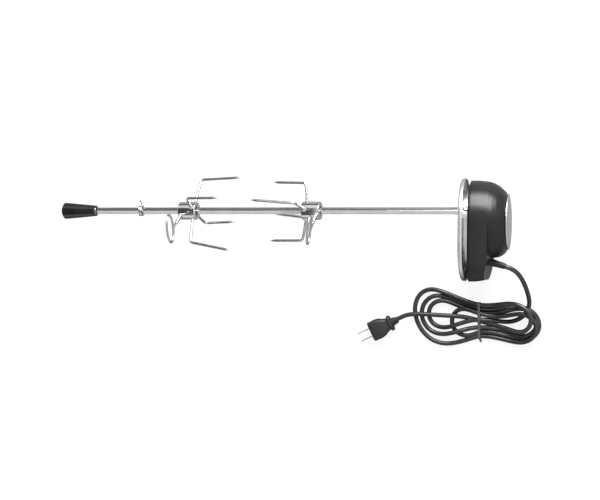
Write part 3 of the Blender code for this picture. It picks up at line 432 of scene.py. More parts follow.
def circle_point(matrix, turn, radius, height):
    return matrix @ Vector((radius * math.cos(turn), radius * math.sin(turn), height))


def turn_profile(shape, profile, matrix, sides, closed=False):
    """A surface turned about the matrix's Z from (height, radius) points."""
    rings = []
    for height, radius in profile:
        angles = [0.0] if radius < 1e-7 else turns(sides)
        rings.append([circle_point(matrix, turn, radius, height) for turn in angles])
    skin(shape, rings, closed)


def in_mm(points, start=0.0):
    """(height, radius) points in metres, with the heights counted from the start."""
    return [(start + height * MM, radius * MM) for height, radius in points]


def turn_loop(shape, profile, radius, matrix, sides, steps=4):
    """A ring turned from a closed profile with its corners rounded."""
    turn_profile(shape, rounded(profile, radius, closed=True, steps=steps), matrix, sides, closed=True)


def sweep(shape, points, radii, sides, closed=False):
    """A round bar along the points, with its own radius at each."""
    count = len(points)
    tangents = []
    for index in range(count):
        before = points[index - 1] if index or closed else points[0]
        after = points[(index + 1) % count] if index + 1 < count or closed else points[-1]
        tangents.append((after - before).normalized())
    normal = tangents[0].orthogonal().normalized()
    rings = []
    for point, tangent, radius in zip(points, tangents, radii):
        normal = (normal - tangent * normal.dot(tangent)).normalized()
        side = tangent.cross(normal)
        if radius < 1e-7:
            rings.append([point])
            continue
        rings.append([
            point + (normal * math.cos(turn) + side * math.sin(turn)) * radius for turn in turns(sides)
        ])
    skin(shape, rings, closed)


def smooth_route(points, steps, closed=False):
    """Points along a smooth curve through the given ones."""
    knots = [Vector(point) for point in points]
    if closed:
        knots = [knots[-1], *knots, *knots[:2]]
    else:
        knots = [knots[0] * 2 - knots[1], *knots, knots[-1] * 2 - knots[-2]]
    result = []
    for before, start, end, after in zip(knots, knots[1:], knots[2:], knots[3:]):
        for step in range(steps):
            part = step / steps
            result.append(0.5 * (
                2 * start + (end - before) * part
                + (2 * before - 5 * start + 4 * end - after) * part ** 2
                + (3 * start - before - 3 * end + after) * part ** 3
            ))
    if not closed:
        result.append(knots[-2])
    return result


def threaded(shape, matrix, start, end, radius, pitch, depth, sides=SMALL):
    """A screw thread cut in a round bar, with plain ends, as one surface of rings."""
    steps = max(4, round((end - start) / pitch * 6))
    rings = []
    for row in range(steps + 1):
        height = start + (end - start) * row / steps
        fade = min(1.0, (height - start) / pitch, (end - height) / pitch)
        ring = []
        for side, turn in enumerate(turns(sides)):
            phase = (height / pitch - side / sides) % 1.0
            cut = depth * (1 - abs(2 * phase - 1)) * fade
            ring.append(circle_point(matrix, turn, radius - cut, height))
        rings.append(ring)
    skin(shape, rings)


def rounded_box(shape, matrix, size, radius):
    """A box whose edges are all rounded."""
    part = bmesh.new()
    bmesh.ops.create_cube(part, size=1.0)
    bmesh.ops.scale(part, vec=size, verts=part.verts)
    bmesh.ops.bevel(part, geom=part.edges, offset=radius, segments=3, profile=0.5, affect="EDGES")
    bmesh.ops.transform(part, matrix=matrix, verts=part.verts)
    mesh = bpy.data.meshes.new("part")
    part.to_mesh(mesh)
    part.free()
    shape.from_mesh(mesh)
    bpy.data.meshes.remove(mesh)


def d_outline(bottom, top, half_depth, low_corner, high_corner, steps):
    """(y, z) points of an upright outline with round corners, anticlockwise seen from +X."""
    points = []
    for quarter, (side_y, corner) in enumerate(
        ((top, high_corner), (bottom, low_corner), (bottom, low_corner), (top, high_corner))
    ):
        inward = -1 if side_y == top else 1
        sign = 1 if quarter < 2 else -1
        centre = (side_y + inward * corner, sign * (half_depth - corner))
        for step in range(steps + 1):
            turn = math.pi / 2 * (quarter + step / steps)
            points.append((centre[0] + corner * math.cos(turn), centre[1] + corner * math.sin(turn)))
    return points


def d_ring(x, inset, bottom, top, half_depth, steps):
    """The outline at one x, drawn in by the inset, with its ends as round as they can be."""
    corner = half_depth - inset - 0.4 * MM
    outline = d_outline(bottom + inset, top - inset, half_depth - inset, corner, corner, steps)
    return [near_spit(x, y, z) for y, z in outline]


def pan_head(shape, matrix, radius, height, slot_depth=0.9 * MM):
    """A pan head with a cross recess, standing on the matrix's XY plane."""
    sides = 32
    arm = 0.16
    rings = []
    for high, wide in ((0.0, 1.0), (0.35, 1.0), (0.62, 0.95), (0.82, 0.82), (0.95, 0.62)):
        rings.append([circle_point(matrix, turn, radius * wide, height * high) for turn in turns(sides)])
    for reach, high in ((0.5, 1.0), (0.46, 0.98), (0.42, None)):
        ring = []
        for turn in turns(sides):
            cross = max(abs(math.cos(turn)), abs(math.sin(turn)))
            narrow = min(abs(math.cos(turn)), abs(math.sin(turn)))
            wide = reach if narrow < 1.1 * arm / reach else min(reach, arm / max(narrow, 1e-6) * 1.1)
            wide = min(wide, reach) * (1.0 if cross > 0.94 else 0.62)
            level = height * high if high else height - slot_depth
            ring.append(circle_point(matrix, turn, radius * wide, level))
        rings.append(ring)
    rings.append([matrix @ Vector((0.0, 0.0, height - slot_depth))])
    skin(shape, rings)


# Spit

def make_rod():
    side = 4.0 * MM
    corner = 0.7 * MM
    corners = [(side, side), (-side, side), (-side, -side), (side, -side)]
    on_edge = Matrix.Rotation(math.radians(45), 2)
    section = [on_edge @ Vector(point) for point in rounded(corners, corner, closed=True, steps=5)]
    stations = [(rod_low.x, 0.86), (rod_low.x + 0.8 * MM, 1.0)]
    stations += [(rod_low.x + (rod_high.x - 9 * MM - rod_low.x) * step / 24, 1.0) for step in range(1, 25)]
    stations += [(rod_high.x - 5 * MM, 0.62), (rod_high.x - 1 * MM, 0.2), (rod_high.x, 0.05)]
    rings = [[near_spit(x, scale * y, scale * z) for y, z in section] for x, scale in stations]
    shape = bmesh.new()
    skin(shape, rings)
    add_piece("spit_bar", shape, "rod", "spit", ["spit_rod"])


def make_handle():
    low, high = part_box("handle_grip")
    length = high.x - low.x
    wide = (high.y - low.y) / 2
    neck = 8.5 * MM
    recess = 6.9 * MM
    inside = 6.2 * MM
    outer = [(0.0, 0.0), (0.15 * MM, 5.0 * MM), (0.9 * MM, wide - 3.2 * MM), (3.4 * MM, wide - 0.15 * MM)]
    outer += [(9.0 * MM, wide - 0.55 * MM), (length * 0.55, 10.9 * MM), (length - 6.0 * MM, 9.05 * MM)]
    outer += [(length - 0.2 * MM, neck), (length - 0.2 * MM, recess), (length - 7 * MM, recess)]
    outer += [(length - 7 * MM, inside), (14 * MM, inside), (14 * MM, 0.0)]
    shape = bmesh.new()
    turn_profile(shape, rounded(outer, 1.6 * MM, steps=6), frame_along(near_spit(low.x), X_AXIS), FINE)
    for side in (0.0, math.pi):
        line = []
        for step in range(13):
            part = step / 12
            x = low.x + 4.5 * MM + (length - 7.5 * MM) * part
            reach = wide - 0.5 * MM + (neck + 0.1 * MM - wide + 0.5 * MM) * part
            line.append(near_spit(x, reach * math.sin(side) if side else 0.0, reach * math.cos(side)))
        sweep(shape, line, [0.22 * MM] * len(line), 8)
    add_piece("handle_moulding", shape, "grip", "spit", ["handle_grip"])

    ferrule_low, ferrule_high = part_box("handle_ferrule")
    span = ferrule_high.x - ferrule_low.x
    reach = (ferrule_high.y - ferrule_low.y) / 2
    tube = [(0.0, reach - 0.35 * MM), (span - 2.2 * MM, reach - 0.35 * MM)]
    tube += [(span - 1.6 * MM, reach - 0.1 * MM), (span - 0.3 * MM, reach - 0.1 * MM)]
    tube += [(span, reach - 0.6 * MM), (span, inside), (0.0, inside)]
    shape = bmesh.new()
    turn_loop(shape, tube, 0.3 * MM, frame_along(near_spit(ferrule_low.x), X_AXIS), MEDIUM)
    add_piece("handle_collar", shape, "chrome", "spit", ["handle_ferrule"])


def make_bushing():
    low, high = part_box("support_bushing")
    middle = (low.x + high.x) / 2
    half = (high.x - low.x) / 2
    lip = (high.y - low.y) / 2
    profile = [
        (-half, lip - 0.3 * MM), (-half + 0.4 * MM, lip),
        (-half + 1.2 * MM, lip), (-half + 1.7 * MM, lip - 1.2 * MM),
        (half - 1.7 * MM, lip - 1.2 * MM), (half - 1.2 * MM, lip),
        (half - 0.4 * MM, lip), (half, lip - 0.3 * MM),
        (half, 6.5 * MM), (half - 0.4 * MM, 6.1 * MM), (-half + 0.4 * MM, 6.1 * MM), (-half, 6.5 * MM),
    ]
    shape = bmesh.new()
    turn_loop(shape, profile, 0.35 * MM, frame_along(near_spit(middle), X_AXIS), FINE)
    add_piece("rest_collar", shape, "chrome", "rest_bushing", ["support_bushing"])

    matrix = frame_along(near_spit(middle), Vector((0.0, 1.0, 0.0)))
    shape = bmesh.new()
    threaded(shape, matrix, 6.0 * MM, 11.4 * MM, 1.25 * MM, 0.7 * MM, 0.22 * MM, 16)
    leaf = []
    for height, x in ((11.0, 0.0), (12.4, 0.1), (13.8, -0.2), (15.0, -1.0), (15.9, -2.2)):
        leaf.append(near_spit(middle + x * MM, height * MM))
    sweep(shape, smooth_route(leaf, 5), [1.35 * MM] * 21, 14)
    leaf_end = Matrix.Translation(near_spit(middle - 1.3 * MM, 15.4 * MM))
    rounded_box(shape, leaf_end, (3.0 * MM, 3.4 * MM, 4.2 * MM), 1.0 * MM)
    add_piece("rest_collar_screw", shape, "wire", "rest_bushing_screw", ["bushing_thumbscrew"])


# Meat forks

TINE_RADIUS = 2.1 * MM
LONG_TINE = 66.5 * MM
SHORT_TINE = 51.5 * MM
TINE_BEND = 5.0 * MM
LOOP_JOIN = 49.5 * MM
LOOP_LEAN = math.radians(27.0)
LOOP_HALF_LENGTH = 20.9 * MM
LOOP_HALF_WIDTH = 11.4 * MM
LOOP_WIRE = 1.8 * MM
FORKS = {
    "left": {
        "points": 1, "long_angle": 65.8, "reach": (55.0, 43.5, 55.0, 44.0),
        "splay": (3.0, 0.6, 11.0, 0.0), "swing": (0.0, 0.0, 0.0, 3.0),
        "screw_angle": 214.0, "loop_turn": 4.0,
    },
    "right": {
        "points": -1, "long_angle": 170.2, "reach": (55.0, 46.0, 55.0, 43.5),
        "splay": (5.0, 0.5, 0.0, 1.5), "swing": (-3.4, 0.0, 7.0, 0.0),
        "screw_angle": 215.0, "loop_turn": -8.0,
    },
}


def tine_route(face_x, fork, number, angle, length):
    forward = fork["points"]
    reach = fork["reach"][number] * MM
    rise = math.tan(math.radians(fork["splay"][number]))
    drift = math.tan(math.radians(fork["swing"][number]))
    sideways = outward(angle + 90)
    base_x = face_x - forward * 5.8 * MM
    bend_x = base_x + forward * 3.3 * MM
    hub = 14.0 * MM
    points = []
    for ahead, away in ((0.1, hub - 3.2 * MM), (0.5, hub + 2.0 * MM), (1.7, (hub + reach) / 2)):
        points.append(from_spit(base_x + forward * ahead * MM, away, angle))
    for step in range(9):
        turn = math.pi / 2 * step / 8
        x = bend_x + forward * TINE_BEND * (1 - math.cos(turn))
        points.append(from_spit(x, reach - TINE_BEND * (1 - math.sin(turn)), angle))
    run = length - TINE_BEND
    start_x = bend_x + forward * TINE_BEND
    distances = [run * part for part in (0.2, 0.4, 0.6, 0.75)]
    distances += [run - back * MM for back in (10.0, 8.0, 5.0, 2.5, 0.9, 0.25, 0.0)]
    for distance in distances:
        point = from_spit(start_x + forward * distance, reach + rise * distance, angle)
        points.append(point + sideways * drift * distance)
    tapers = [1.0] * (len(points) - 6) + [0.97, 0.78, 0.5, 0.3, 0.17, 0.0]
    return points, tapers


def make_hub(side, fork):
    low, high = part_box(f"{side}_fork_hub")
    radius = 14.0 * MM
    bore = 7.0 * MM
    length = high.x - low.x
    profile = [(0.0, radius - 1.0 * MM), (0.9 * MM, radius)]
    profile += [(length - 0.9 * MM, radius), (length, radius - 1.0 * MM)]
    profile += [(length, bore + 0.8 * MM), (length - 0.8 * MM, bore)]
    profile += [(0.8 * MM, bore), (0.0, bore + 0.8 * MM)]
    shape = bmesh.new()
    turn_loop(shape, profile, 0.5 * MM, frame_along(near_spit(low.x), X_AXIS), 96, steps=5)
    forward = fork["points"]
    face_x = high.x if forward > 0 else low.x
    plain_x = low.x if forward > 0 else high.x
    for turn in range(4):
        angle = fork["long_angle"] + 90 * turn
        base = from_spit(face_x - forward * 5.4 * MM, radius - 0.9 * MM, angle)
        out = outward(angle)
        weld = in_mm([(-1.2, 4.0), (0.0, 4.4), (0.7, 3.9), (1.3, 3.0), (2.2, 2.5), (3.0, 2.15)])
        turn_profile(shape, weld, frame_along(base, out), SMALL)
    screw_x = plain_x + forward * 5.0 * MM
    out = outward(fork["screw_angle"])
    boss = in_mm([(12.6, 4.4), (14.1, 4.4), (14.6, 3.9), (14.6, 3.0), (12.6, 3.0)])
    turn_loop(shape, boss, 0.3 * MM, frame_along(from_spit(screw_x), out), MEDIUM)
    add_piece(f"{side}_hub", shape, "chrome", f"{side}_fork", [f"{side}_fork_hub"])
    return face_x, screw_x


def make_tines(side, fork, face_x):
    for number, (kind, length) in enumerate((("long", LONG_TINE), ("short", SHORT_TINE)) * 2):
        angle = fork["long_angle"] + 90 * number
        points, tapers = tine_route(face_x, fork, number, angle, length)
        shape = bmesh.new()
        sweep(shape, points, [TINE_RADIUS * taper for taper in tapers], 20)
        pair = 1 + number // 2
        node = f"{side}_fork_{kind}_tine_{pair}"
        add_piece(f"{side}_{kind}_prong_{pair}", shape, "wire", f"{side}_fork", [node])


def make_thumbscrew(side, fork, x):
    angle = fork["screw_angle"]
    out = outward(angle)
    across = Matrix.Rotation(math.radians(fork["loop_turn"]), 3, out) @ outward(angle + 90)
    long_way = across * math.cos(LOOP_LEAN) + out * math.sin(LOOP_LEAN)
    short_way = out * math.cos(LOOP_LEAN) - across * math.sin(LOOP_LEAN)
    matrix = frame_along(from_spit(x), out)
    shape = bmesh.new()
    turn_profile(shape, in_mm([(5.9, 0.0), (5.9, 1.8), (6.7, 2.45)]), matrix, SMALL)
    threaded(shape, matrix, 6.6 * MM, LOOP_JOIN - 18 * MM, 2.6 * MM, 1.0 * MM, 0.35 * MM, 28)
    neck = [(-18.2, 2.4), (-15.0, 2.5), (-13.6, 2.0), (-4.0, 1.9), (-1.8, 2.3), (0.4, 2.5), (1.2, 1.4)]
    turn_profile(shape, rounded(in_mm(neck, LOOP_JOIN), 0.5 * MM), matrix, SMALL)
    centre = from_spit(x) + out * LOOP_JOIN + short_way * LOOP_HALF_WIDTH
    loop = []
    for turn in turns(72):
        along = long_way * LOOP_HALF_LENGTH * math.cos(turn)
        loop.append(centre + along + short_way * LOOP_HALF_WIDTH * math.sin(turn))
    sweep(shape, loop, [LOOP_WIRE] * len(loop), 18, closed=True)
    add_piece(f"{side}_clamp_screw", shape, "wire", f"{side}_fork_screw", [f"{side}_fork_thumbscrew"])


def make_forks():
    for side, fork in FORKS.items():
        face_x, screw_x = make_hub(side, fork)
        make_tines(side, fork, face_x)
        make_thumbscrew(side, fork, screw_x)


# Motor

PLATE_TOP = 47.3 * MM
PLATE_BOTTOM = -102.4 * MM
HALF_DEPTH = 56.5 * MM
SHROUD_TOP = 29.0 * MM
SHROUD_BOTTOM = -82.0 * MM
SHROUD_HALF_DEPTH = 44.0 * MM
HOUSING_TOP = 44.0 * MM
FOOT_CORNER = 26.0 * MM
FOOT_SLOPE = 0.16
PLATE_RECESS = 2.4 * MM
PLATE_BORDER = 13.0 * MM
DOME_BOTTOM = -68.0 * MM
DOME_RINGS = (            # x behind the rim, top, bottom, half depth
    (28.8, 41.3, -68.5, 53.9), (33.3, 39.6, -68.2, 52.7), (39.8, 36.0, -67.0, 50.2),
    (45.3, 31.2, -64.2, 47.0), (49.3, 27.3, -60.4, 43.6), (51.6, 23.0, -56.0, 39.5),
)
RIM_RINGS = ((0.0, 0.5), (0.5, 0.0), (2.2, 0.05), (2.5, 0.45), (3.1, 0.45), (3.4, 0.1))   # x, draft
# x behind the rim, draft, and how much further the back edge tucks in below the dome
FOOT_RINGS = (
    (12.0, 0.3, 0.0), (18.0, 0.85, 0.0), (22.0, 1.4, 0.0), (25.2, 1.9, 0.0),
    (26.4, 2.1, 0.15), (27.3, 2.26, 0.7), (28.0, 2.4, 1.6), (28.3, 2.46, 2.4),
)


def make_mounting_plate():
    low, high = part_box("mounting_plate")
    front = low.x
    back = high.x
    sheet = 1.6 * MM

    def ring(x, inset):
        return d_ring(x, inset, PLATE_BOTTOM, PLATE_TOP, HALF_DEPTH, 28)

    curve = 3.4 * MM
    outside = []
    for step in range(8, -1, -1):
        turn = math.pi / 2 * step / 8
        outside.append((front + curve * (1 - math.sin(turn)) * 0.9, curve * (1 - math.cos(turn))))
    wall = [(back - 0.5 * MM, 0.0), (back, 0.4 * MM), (back, sheet - 0.3 * MM)]
    inside = [(back - 0.4 * MM, sheet), (front + curve, sheet)]
    inside.append((front + sheet + 0.3 * MM, sheet + 2.0 * MM))
    slope = [(0.0, 0.0), (0.12, 0.35), (0.5, 0.85), (1.2, 1.3), (1.9, 1.75), (2.28, 2.25), (2.4, 2.9)]
    face = [(front + drop * MM, PLATE_BORDER - 0.6 * MM + inset * MM) for drop, inset in slope]
    face.append((front + PLATE_RECESS, 30 * MM))
    rings = [ring(x, inset) for x, inset in reversed(face)]
    rings += [ring(x, inset) for x, inset in outside + wall + inside]
    rings.append(ring(front + sheet, PLATE_BORDER - 1.5 * MM))
    rings.append(ring(front + PLATE_RECESS + sheet, PLATE_BORDER + 1.5 * MM))
    rings.append(ring(front + PLATE_RECESS + sheet, 30 * MM))
    shape = bmesh.new()
    skin(shape, rings)
    add_piece("plate_pan", shape, "plate", "motor", ["mounting_plate"])


def make_plate_fittings():
    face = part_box("mounting_plate")[0].x + PLATE_RECESS
    for number in range(1, 5):
        name = f"plate_screw_{number}"
        low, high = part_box(name)
        centre = Vector((face, (low.y + high.y) / 2, (low.z + high.z) / 2))
        matrix = frame_along(centre, -X_AXIS, math.radians(20 + 31 * number))
        shape = bmesh.new()
        washer = in_mm([(0.0, 4.9), (0.5, 4.9), (0.5, 2.0), (0.0, 2.0)])
        turn_loop(shape, washer, 0.15 * MM, matrix, MEDIUM)
        pan_head(shape, matrix @ Matrix.Translation((0.0, 0.0, 0.5 * MM)), 3.9 * MM, 1.7 * MM)
        length = high.x - centre.x
        threaded(shape, frame_along(centre, X_AXIS), 0.0, length, 1.8 * MM, 0.8 * MM, 0.25 * MM, 16)
        add_piece(f"plate_fixing_{number}", shape, "zinc", "motor", [name])

    low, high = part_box("drive_bushing")
    start = low.x - face
    end = high.x - face
    profile = [(start, 15.2 * MM), (-0.1 * MM, 15.5 * MM), (-0.1 * MM, 13.0 * MM), (end, 13.0 * MM)]
    profile += [(end, 10.3 * MM), (start, 10.3 * MM), (start - 0.1 * MM, 11.2 * MM)]
    shape = bmesh.new()
    turn_loop(shape, profile, 0.35 * MM, frame_along(near_spit(face), X_AXIS), FINE)
    add_piece("drive_bearing", shape, "bronze", "motor", ["drive_bushing"])


def make_shroud():
    low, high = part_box("gearbox_shroud")
    bead = [(low.x, 0.3), (low.x + 0.3 * MM, 0.0), (low.x + 8.6 * MM, 0.0), (low.x + 9.0 * MM, 0.5)]
    bead += [(low.x + 9.8 * MM, 0.5), (low.x + 10.2 * MM, 0.0), (high.x - 0.3 * MM, 0.0), (high.x, 0.3)]
    rings = []
    for x, inset in bead + [(high.x, 2.0), (low.x, 2.0)]:
        rings.append(d_ring(x, inset * MM, SHROUD_BOTTOM, SHROUD_TOP, SHROUD_HALF_DEPTH, 24))
    shape = bmesh.new()
    skin(shape, rings, closed=True)
    add_piece("gearbox_band", shape, "plate", "motor", ["gearbox_shroud"])

    low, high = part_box("shroud_screw")
    x = (low.x + high.x) / 2
    turn = math.radians(68.0)
    out = Vector((0.0, math.cos(turn), math.sin(turn)))
    origin = near_spit(x, SHROUD_TOP - SHROUD_HALF_DEPTH)
    head = SHROUD_HALF_DEPTH + 0.1 * MM
    profile = [(-3.5, 0.0), (-3.5, 1.5), (0.0, 1.5), (0.0, 4.0), (1.6, 4.0), (2.6, 3.3), (2.8, 2.0)]
    profile += [(1.0, 1.75), (0.8, 0.0)]
    shape = bmesh.new()
    turn_profile(shape, rounded(in_mm(profile, head), 0.3 * MM), frame_along(origin, out), MEDIUM)
    add_piece("band_screw", shape, "zinc", "motor", ["shroud_screw"])


def housing_rings():
    """Rings of the moulded housing's outside, from its rim to its back."""
    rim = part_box("motor_housing")[0].x
    foot_depth = 28.4 * MM
    waist = -12.0 * MM        # the back edge tucks in below this height,
    blend = 18.0 * MM         # fully so from this far down

    def foot(x, draft, tuck=0.0):
        corner = HALF_DEPTH - draft - 0.4 * MM
        outline = d_outline(
            PLATE_BOTTOM + draft, HOUSING_TOP - draft, HALF_DEPTH - draft, FOOT_CORNER - draft, corner, 26
        )
        slope = FOOT_SLOPE * (x - rim) / foot_depth
        points = []
        for y, z in outline:
            low_down = min(1.0, max(0.0, (waist - y) / blend))
            shrink = 1 - tuck * low_down * low_down * (3 - 2 * low_down) / HALF_DEPTH
            place_x = x + slope * min(0.0, y - DOME_BOTTOM)
            points.append(near_spit(place_x, waist + (y - waist) * shrink, z * shrink))
        return points

    def dome(x, top, bottom, half):
        return d_ring(rim + x * MM, 0.0, bottom * MM, top * MM, half * MM, 26)

    rings = [foot(rim + x * MM, draft * MM) for x, draft in RIM_RINGS]
    rings += [foot(rim + x * MM, draft * MM, tuck * MM) for x, draft, tuck in FOOT_RINGS]
    for before, after in zip(DOME_RINGS, DOME_RINGS[1:]):
        for step in range(4):
            rings.append(dome(*(a * (1 - step / 4) + b * step / 4 for a, b in zip(before, after))))
    rings.append(dome(*DOME_RINGS[-1]))
    return rings


def make_housing():
    shape = bmesh.new()
    skin(shape, housing_rings())
    add_piece("housing_shell", shape, "housing", "motor", ["motor_housing"], smooth=50.0)

    low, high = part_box("back_cap")
    centre = near_spit(low.x, (low.y + high.y) / 2 - SPIT_Y)
    radius = (high.y - low.y) / 2
    bulge = high.x - low.x
    profile = [(0.0, 0.0), (0.0, radius - 0.5 * MM), (0.5 * MM, radius), (1.3 * MM, radius - 0.05 * MM)]
    for step in range(13):
        turn = math.pi / 2 * step / 12
        profile.append((1.3 * MM + (bulge - 1.3 * MM) * math.sin(turn), (radius - 1.0 * MM) * math.cos(turn)))
    shape = bmesh.new()
    turn_profile(shape, profile, frame_along(centre, X_AXIS), 96)
    add_piece("back_disc", shape, "cap", "motor", ["back_cap"])


def make_strain_relief():
    tilt = math.radians(-16.0)
    axis = Vector((math.cos(tilt), math.sin(tilt), 0.0))
    origin = near_spit(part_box("motor_housing")[0].x + 28.3 * MM, -74.5 * MM)
    bore = 3.5 * MM
    outer = in_mm([(-6.0, 6.8), (-4.8, 6.8), (-4.8, 5.3), (5.6, 5.3)])
    for rib in range(5):
        start = (6.2 + 3.0 * rib) * MM
        reach = (5.3 - 0.19 * rib) * MM
        outer += [(start, reach - 0.6 * MM), (start + 0.3 * MM, reach), (start + 1.9 * MM, reach - 0.1 * MM)]
        outer += [(start + 2.2 * MM, reach - 0.7 * MM)]
    outer += [(21.8 * MM, 4.0 * MM), (22.0 * MM, bore), (-6.0 * MM, bore)]
    shape = bmesh.new()
    turn_loop(shape, outer, 0.25 * MM, frame_along(origin, axis), MEDIUM)
    add_piece("cord_sleeve", shape, "moulding", "motor", ["strain_relief"])


# Cord

CORD_DIAMETER = 6.8 * MM
SMOOTHING_PASSES = 6
CORD_LEAD = (
    (323.0, -48.9, 56.5), (337.0, -52.9, 56.5), (346.0, -55.5, 56.5), (352.0, -57.4, 56.3),
    (358.0, -59.9, 55.0), (363.4, -63.4, 52.0), (367.8, -68.0, 47.6), (371.6, -74.2, 41.4),
    (374.8, -81.6, 33.8), (377.4, -90.0, 25.4), (379.6, -98.6, 18.0), (380.8, -107.0, 12.9),
)
PLUG_LEAD = (
    (300.0, -137.0, 5.0), (284.0, -133.6, 8.4), (268.0, -132.4, 10.4), (250.0, -132.0, 10.6),
    (232.0, -131.2, 10.5), (216.0, -130.8, 10.4), (204.9, -131.7, 10.2), (199.5, -132.6, 10.0),
    (193.5, -134.7, 10.0), (187.5, -137.5, 10.0), (182.5, -140.1, 10.0), (172.0, -145.5, 10.0),
)
# Each turn of the hank: along its lower run, round its left end, along its upper run, round its right end
HANK_TURNS = (
    (
        (380.4, -115.0, 10.6), (377.0, -123.6, 10.2), (370.4, -131.6, 8.6), (360.5, -137.2, 6.0),
        (348.0, -139.8, 3.8), (332.0, -138.8, 3.6), (307.0, -136.8, 9.6), (288.0, -140.4, 10.4),
        (270.0, -147.0, 10.4), (260.0, -149.8, 8.6), (250.0, -150.2, 6.6), (240.2, -147.0, 4.6),
        (233.0, -139.6, 3.6), (230.4, -129.6, 3.4), (233.0, -119.6, 3.4), (240.4, -112.4, 3.4),
        (250.6, -109.8, 3.4), (262.0, -111.8, 3.4), (276.0, -117.5, 3.4), (307.0, -127.0, 3.4),
        (330.0, -127.6, 4.2), (350.0, -122.4, 11.0), (362.0, -119.4, 16.4), (373.0, -119.0, 17.4),
        (383.4, -123.0, 15.6), (390.4, -131.2, 12.2), (392.2, -141.4, 10.6), (388.2, -151.4, 10.4),
        (379.8, -158.2, 10.2), (369.0, -160.0, 9.2),
    ),
    (
        (352.0, -155.6, 5.0), (332.0, -150.6, 3.6), (307.0, -148.6, 3.6), (288.0, -152.0, 8.6),
        (268.0, -157.9, 10.4), (251.0, -160.8, 7.0), (234.4, -156.6, 3.6), (223.4, -144.6, 3.4),
        (219.4, -129.4, 3.4), (223.4, -114.4, 3.4), (234.6, -104.4, 3.4), (250.0, -102.6, 3.4),
        (276.0, -111.0, 3.4), (307.0, -121.2, 7.4), (332.0, -120.8, 3.8), (352.0, -118.6, 3.6),
        (366.0, -117.6, 3.6), (378.0, -119.6, 3.6), (388.0, -126.4, 3.6), (394.0, -136.6, 3.6),
        (394.8, -148.0, 3.6), (389.6, -158.2, 3.6), (379.6, -164.2, 3.6), (366.0, -164.4, 3.6),
    ),
    (
        (350.0, -160.6, 3.6), (328.0, -156.2, 3.6), (309.0, -155.4, 3.6), (296.0, -161.0, 3.6),
        (284.0, -161.8, 3.6), (273.4, -157.2, 3.5), (267.0, -148.0, 3.4), (266.0, -136.8, 3.4),
        (270.6, -127.0, 4.6), (280.0, -121.8, 8.4), (292.0, -122.4, 11.2), (309.0, -128.4, 10.4),
        (332.0, -132.6, 8.6), (350.0, -129.6, 14.4), (363.0, -127.0, 17.4), (374.0, -127.2, 20.2),
        (384.0, -132.0, 20.0), (390.4, -140.6, 18.0), (391.4, -151.0, 17.2), (386.8, -160.8, 14.0),
        (378.0, -167.2, 10.6),
    ),
    (
        (366.0, -169.6, 8.0), (350.0, -167.4, 4.0), (328.0, -162.9, 3.4), (307.0, -161.9, 3.4),
        (288.0, -168.4, 3.4), (268.0, -174.0, 3.4), (250.0, -174.6, 3.4), (234.0, -168.6, 3.4),
        (221.0, -157.0, 3.4), (212.5, -141.5, 3.4), (209.0, -125.0, 3.4), (211.6, -109.6, 3.6),
        (220.0, -98.0, 3.8), (234.0, -92.8, 4.6), (252.0, -96.4, 8.0), (276.0, -105.6, 8.6),
        (307.0, -115.6, 11.4), (332.0, -114.4, 12.0), (350.0, -111.8, 18.0), (362.0, -112.4, 24.2),
        (373.0, -116.4, 26.2), (381.2, -124.2, 26.0), (384.6, -134.6, 26.0), (382.2, -144.8, 24.4),
        (374.6, -152.0, 21.0),
    ),
    (
        (364.0, -153.6, 15.8), (350.0, -150.0, 9.6), (332.0, -145.4, 4.8), (316.0, -141.8, 3.8),
    ),
)


def cord_route():
    points = [point for row in (CORD_LEAD, *HANK_TURNS, PLUG_LEAD) for point in row]
    route = smooth_route([Vector(point) * MM for point in points], 5)
    for _ in range(SMOOTHING_PASSES):
        middle = [(a + b * 2 + c) / 4 for a, b, c in zip(route, route[1:], route[2:])]
        route = [route[0], *middle, route[-1]]
    for point in route:
        point.z = max(point.z, CORD_DIAMETER / 2 + 0.05 * MM)
    return route


def make_cord(plug_pieces):
    route = cord_route()
    curve = bpy.data.curves.new("mains_cord", "CURVE")
    curve.dimensions = "3D"
    curve.bevel_depth = CORD_DIAMETER / 2
    curve.bevel_resolution = 6
    curve.use_fill_caps = True
    spline = curve.splines.new("POLY")
    spline.points.add(len(route) - 1)
    for point, place in zip(spline.points, route):
        point.co = (*place, 1.0)
    spline.use_smooth = True
    curve.materials.append(MATERIALS["jacket"])
    cord = add_object("mains_cord", curve)
    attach(cord, "motor")
    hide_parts("power_cord", "cord_hank", "plug_lead")


PLUG_TURN = math.radians(206.5)
PLUG_RINGS = (            # distance behind the face, width, height, corner
    (0.0, 27.0, 15.6, 4.0),
    (0.25, 28.8, 17.4, 4.4),
    (0.9, 30.2, 18.6, 4.6),
    (2.4, 30.8, 19.0, 4.8),
    (12.0, 29.6, 18.5, 5.0),
    (20.0, 26.0, 17.2, 5.4),
    (26.0, 21.0, 15.6, 5.6),
    (29.0, 18.6, 14.8, 5.8),
    (30.0, 19.4, 15.0, 5.8),
    (30.8, 23.2, 16.0, 5.6),
    (31.4, 24.5, 16.5, 5.4),
    (33.4, 24.5, 16.5, 5.4),
    (34.4, 23.6, 15.9, 5.4),
    (35.0, 21.5, 14.8, 5.4),
)


def plug_frame():
    low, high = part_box("plug_body")
    face = Vector((143.5 * MM, -160.4 * MM, (low.z + high.z) / 2))
    return Matrix.Translation(face) @ Matrix.Rotation(PLUG_TURN, 4, "Z")


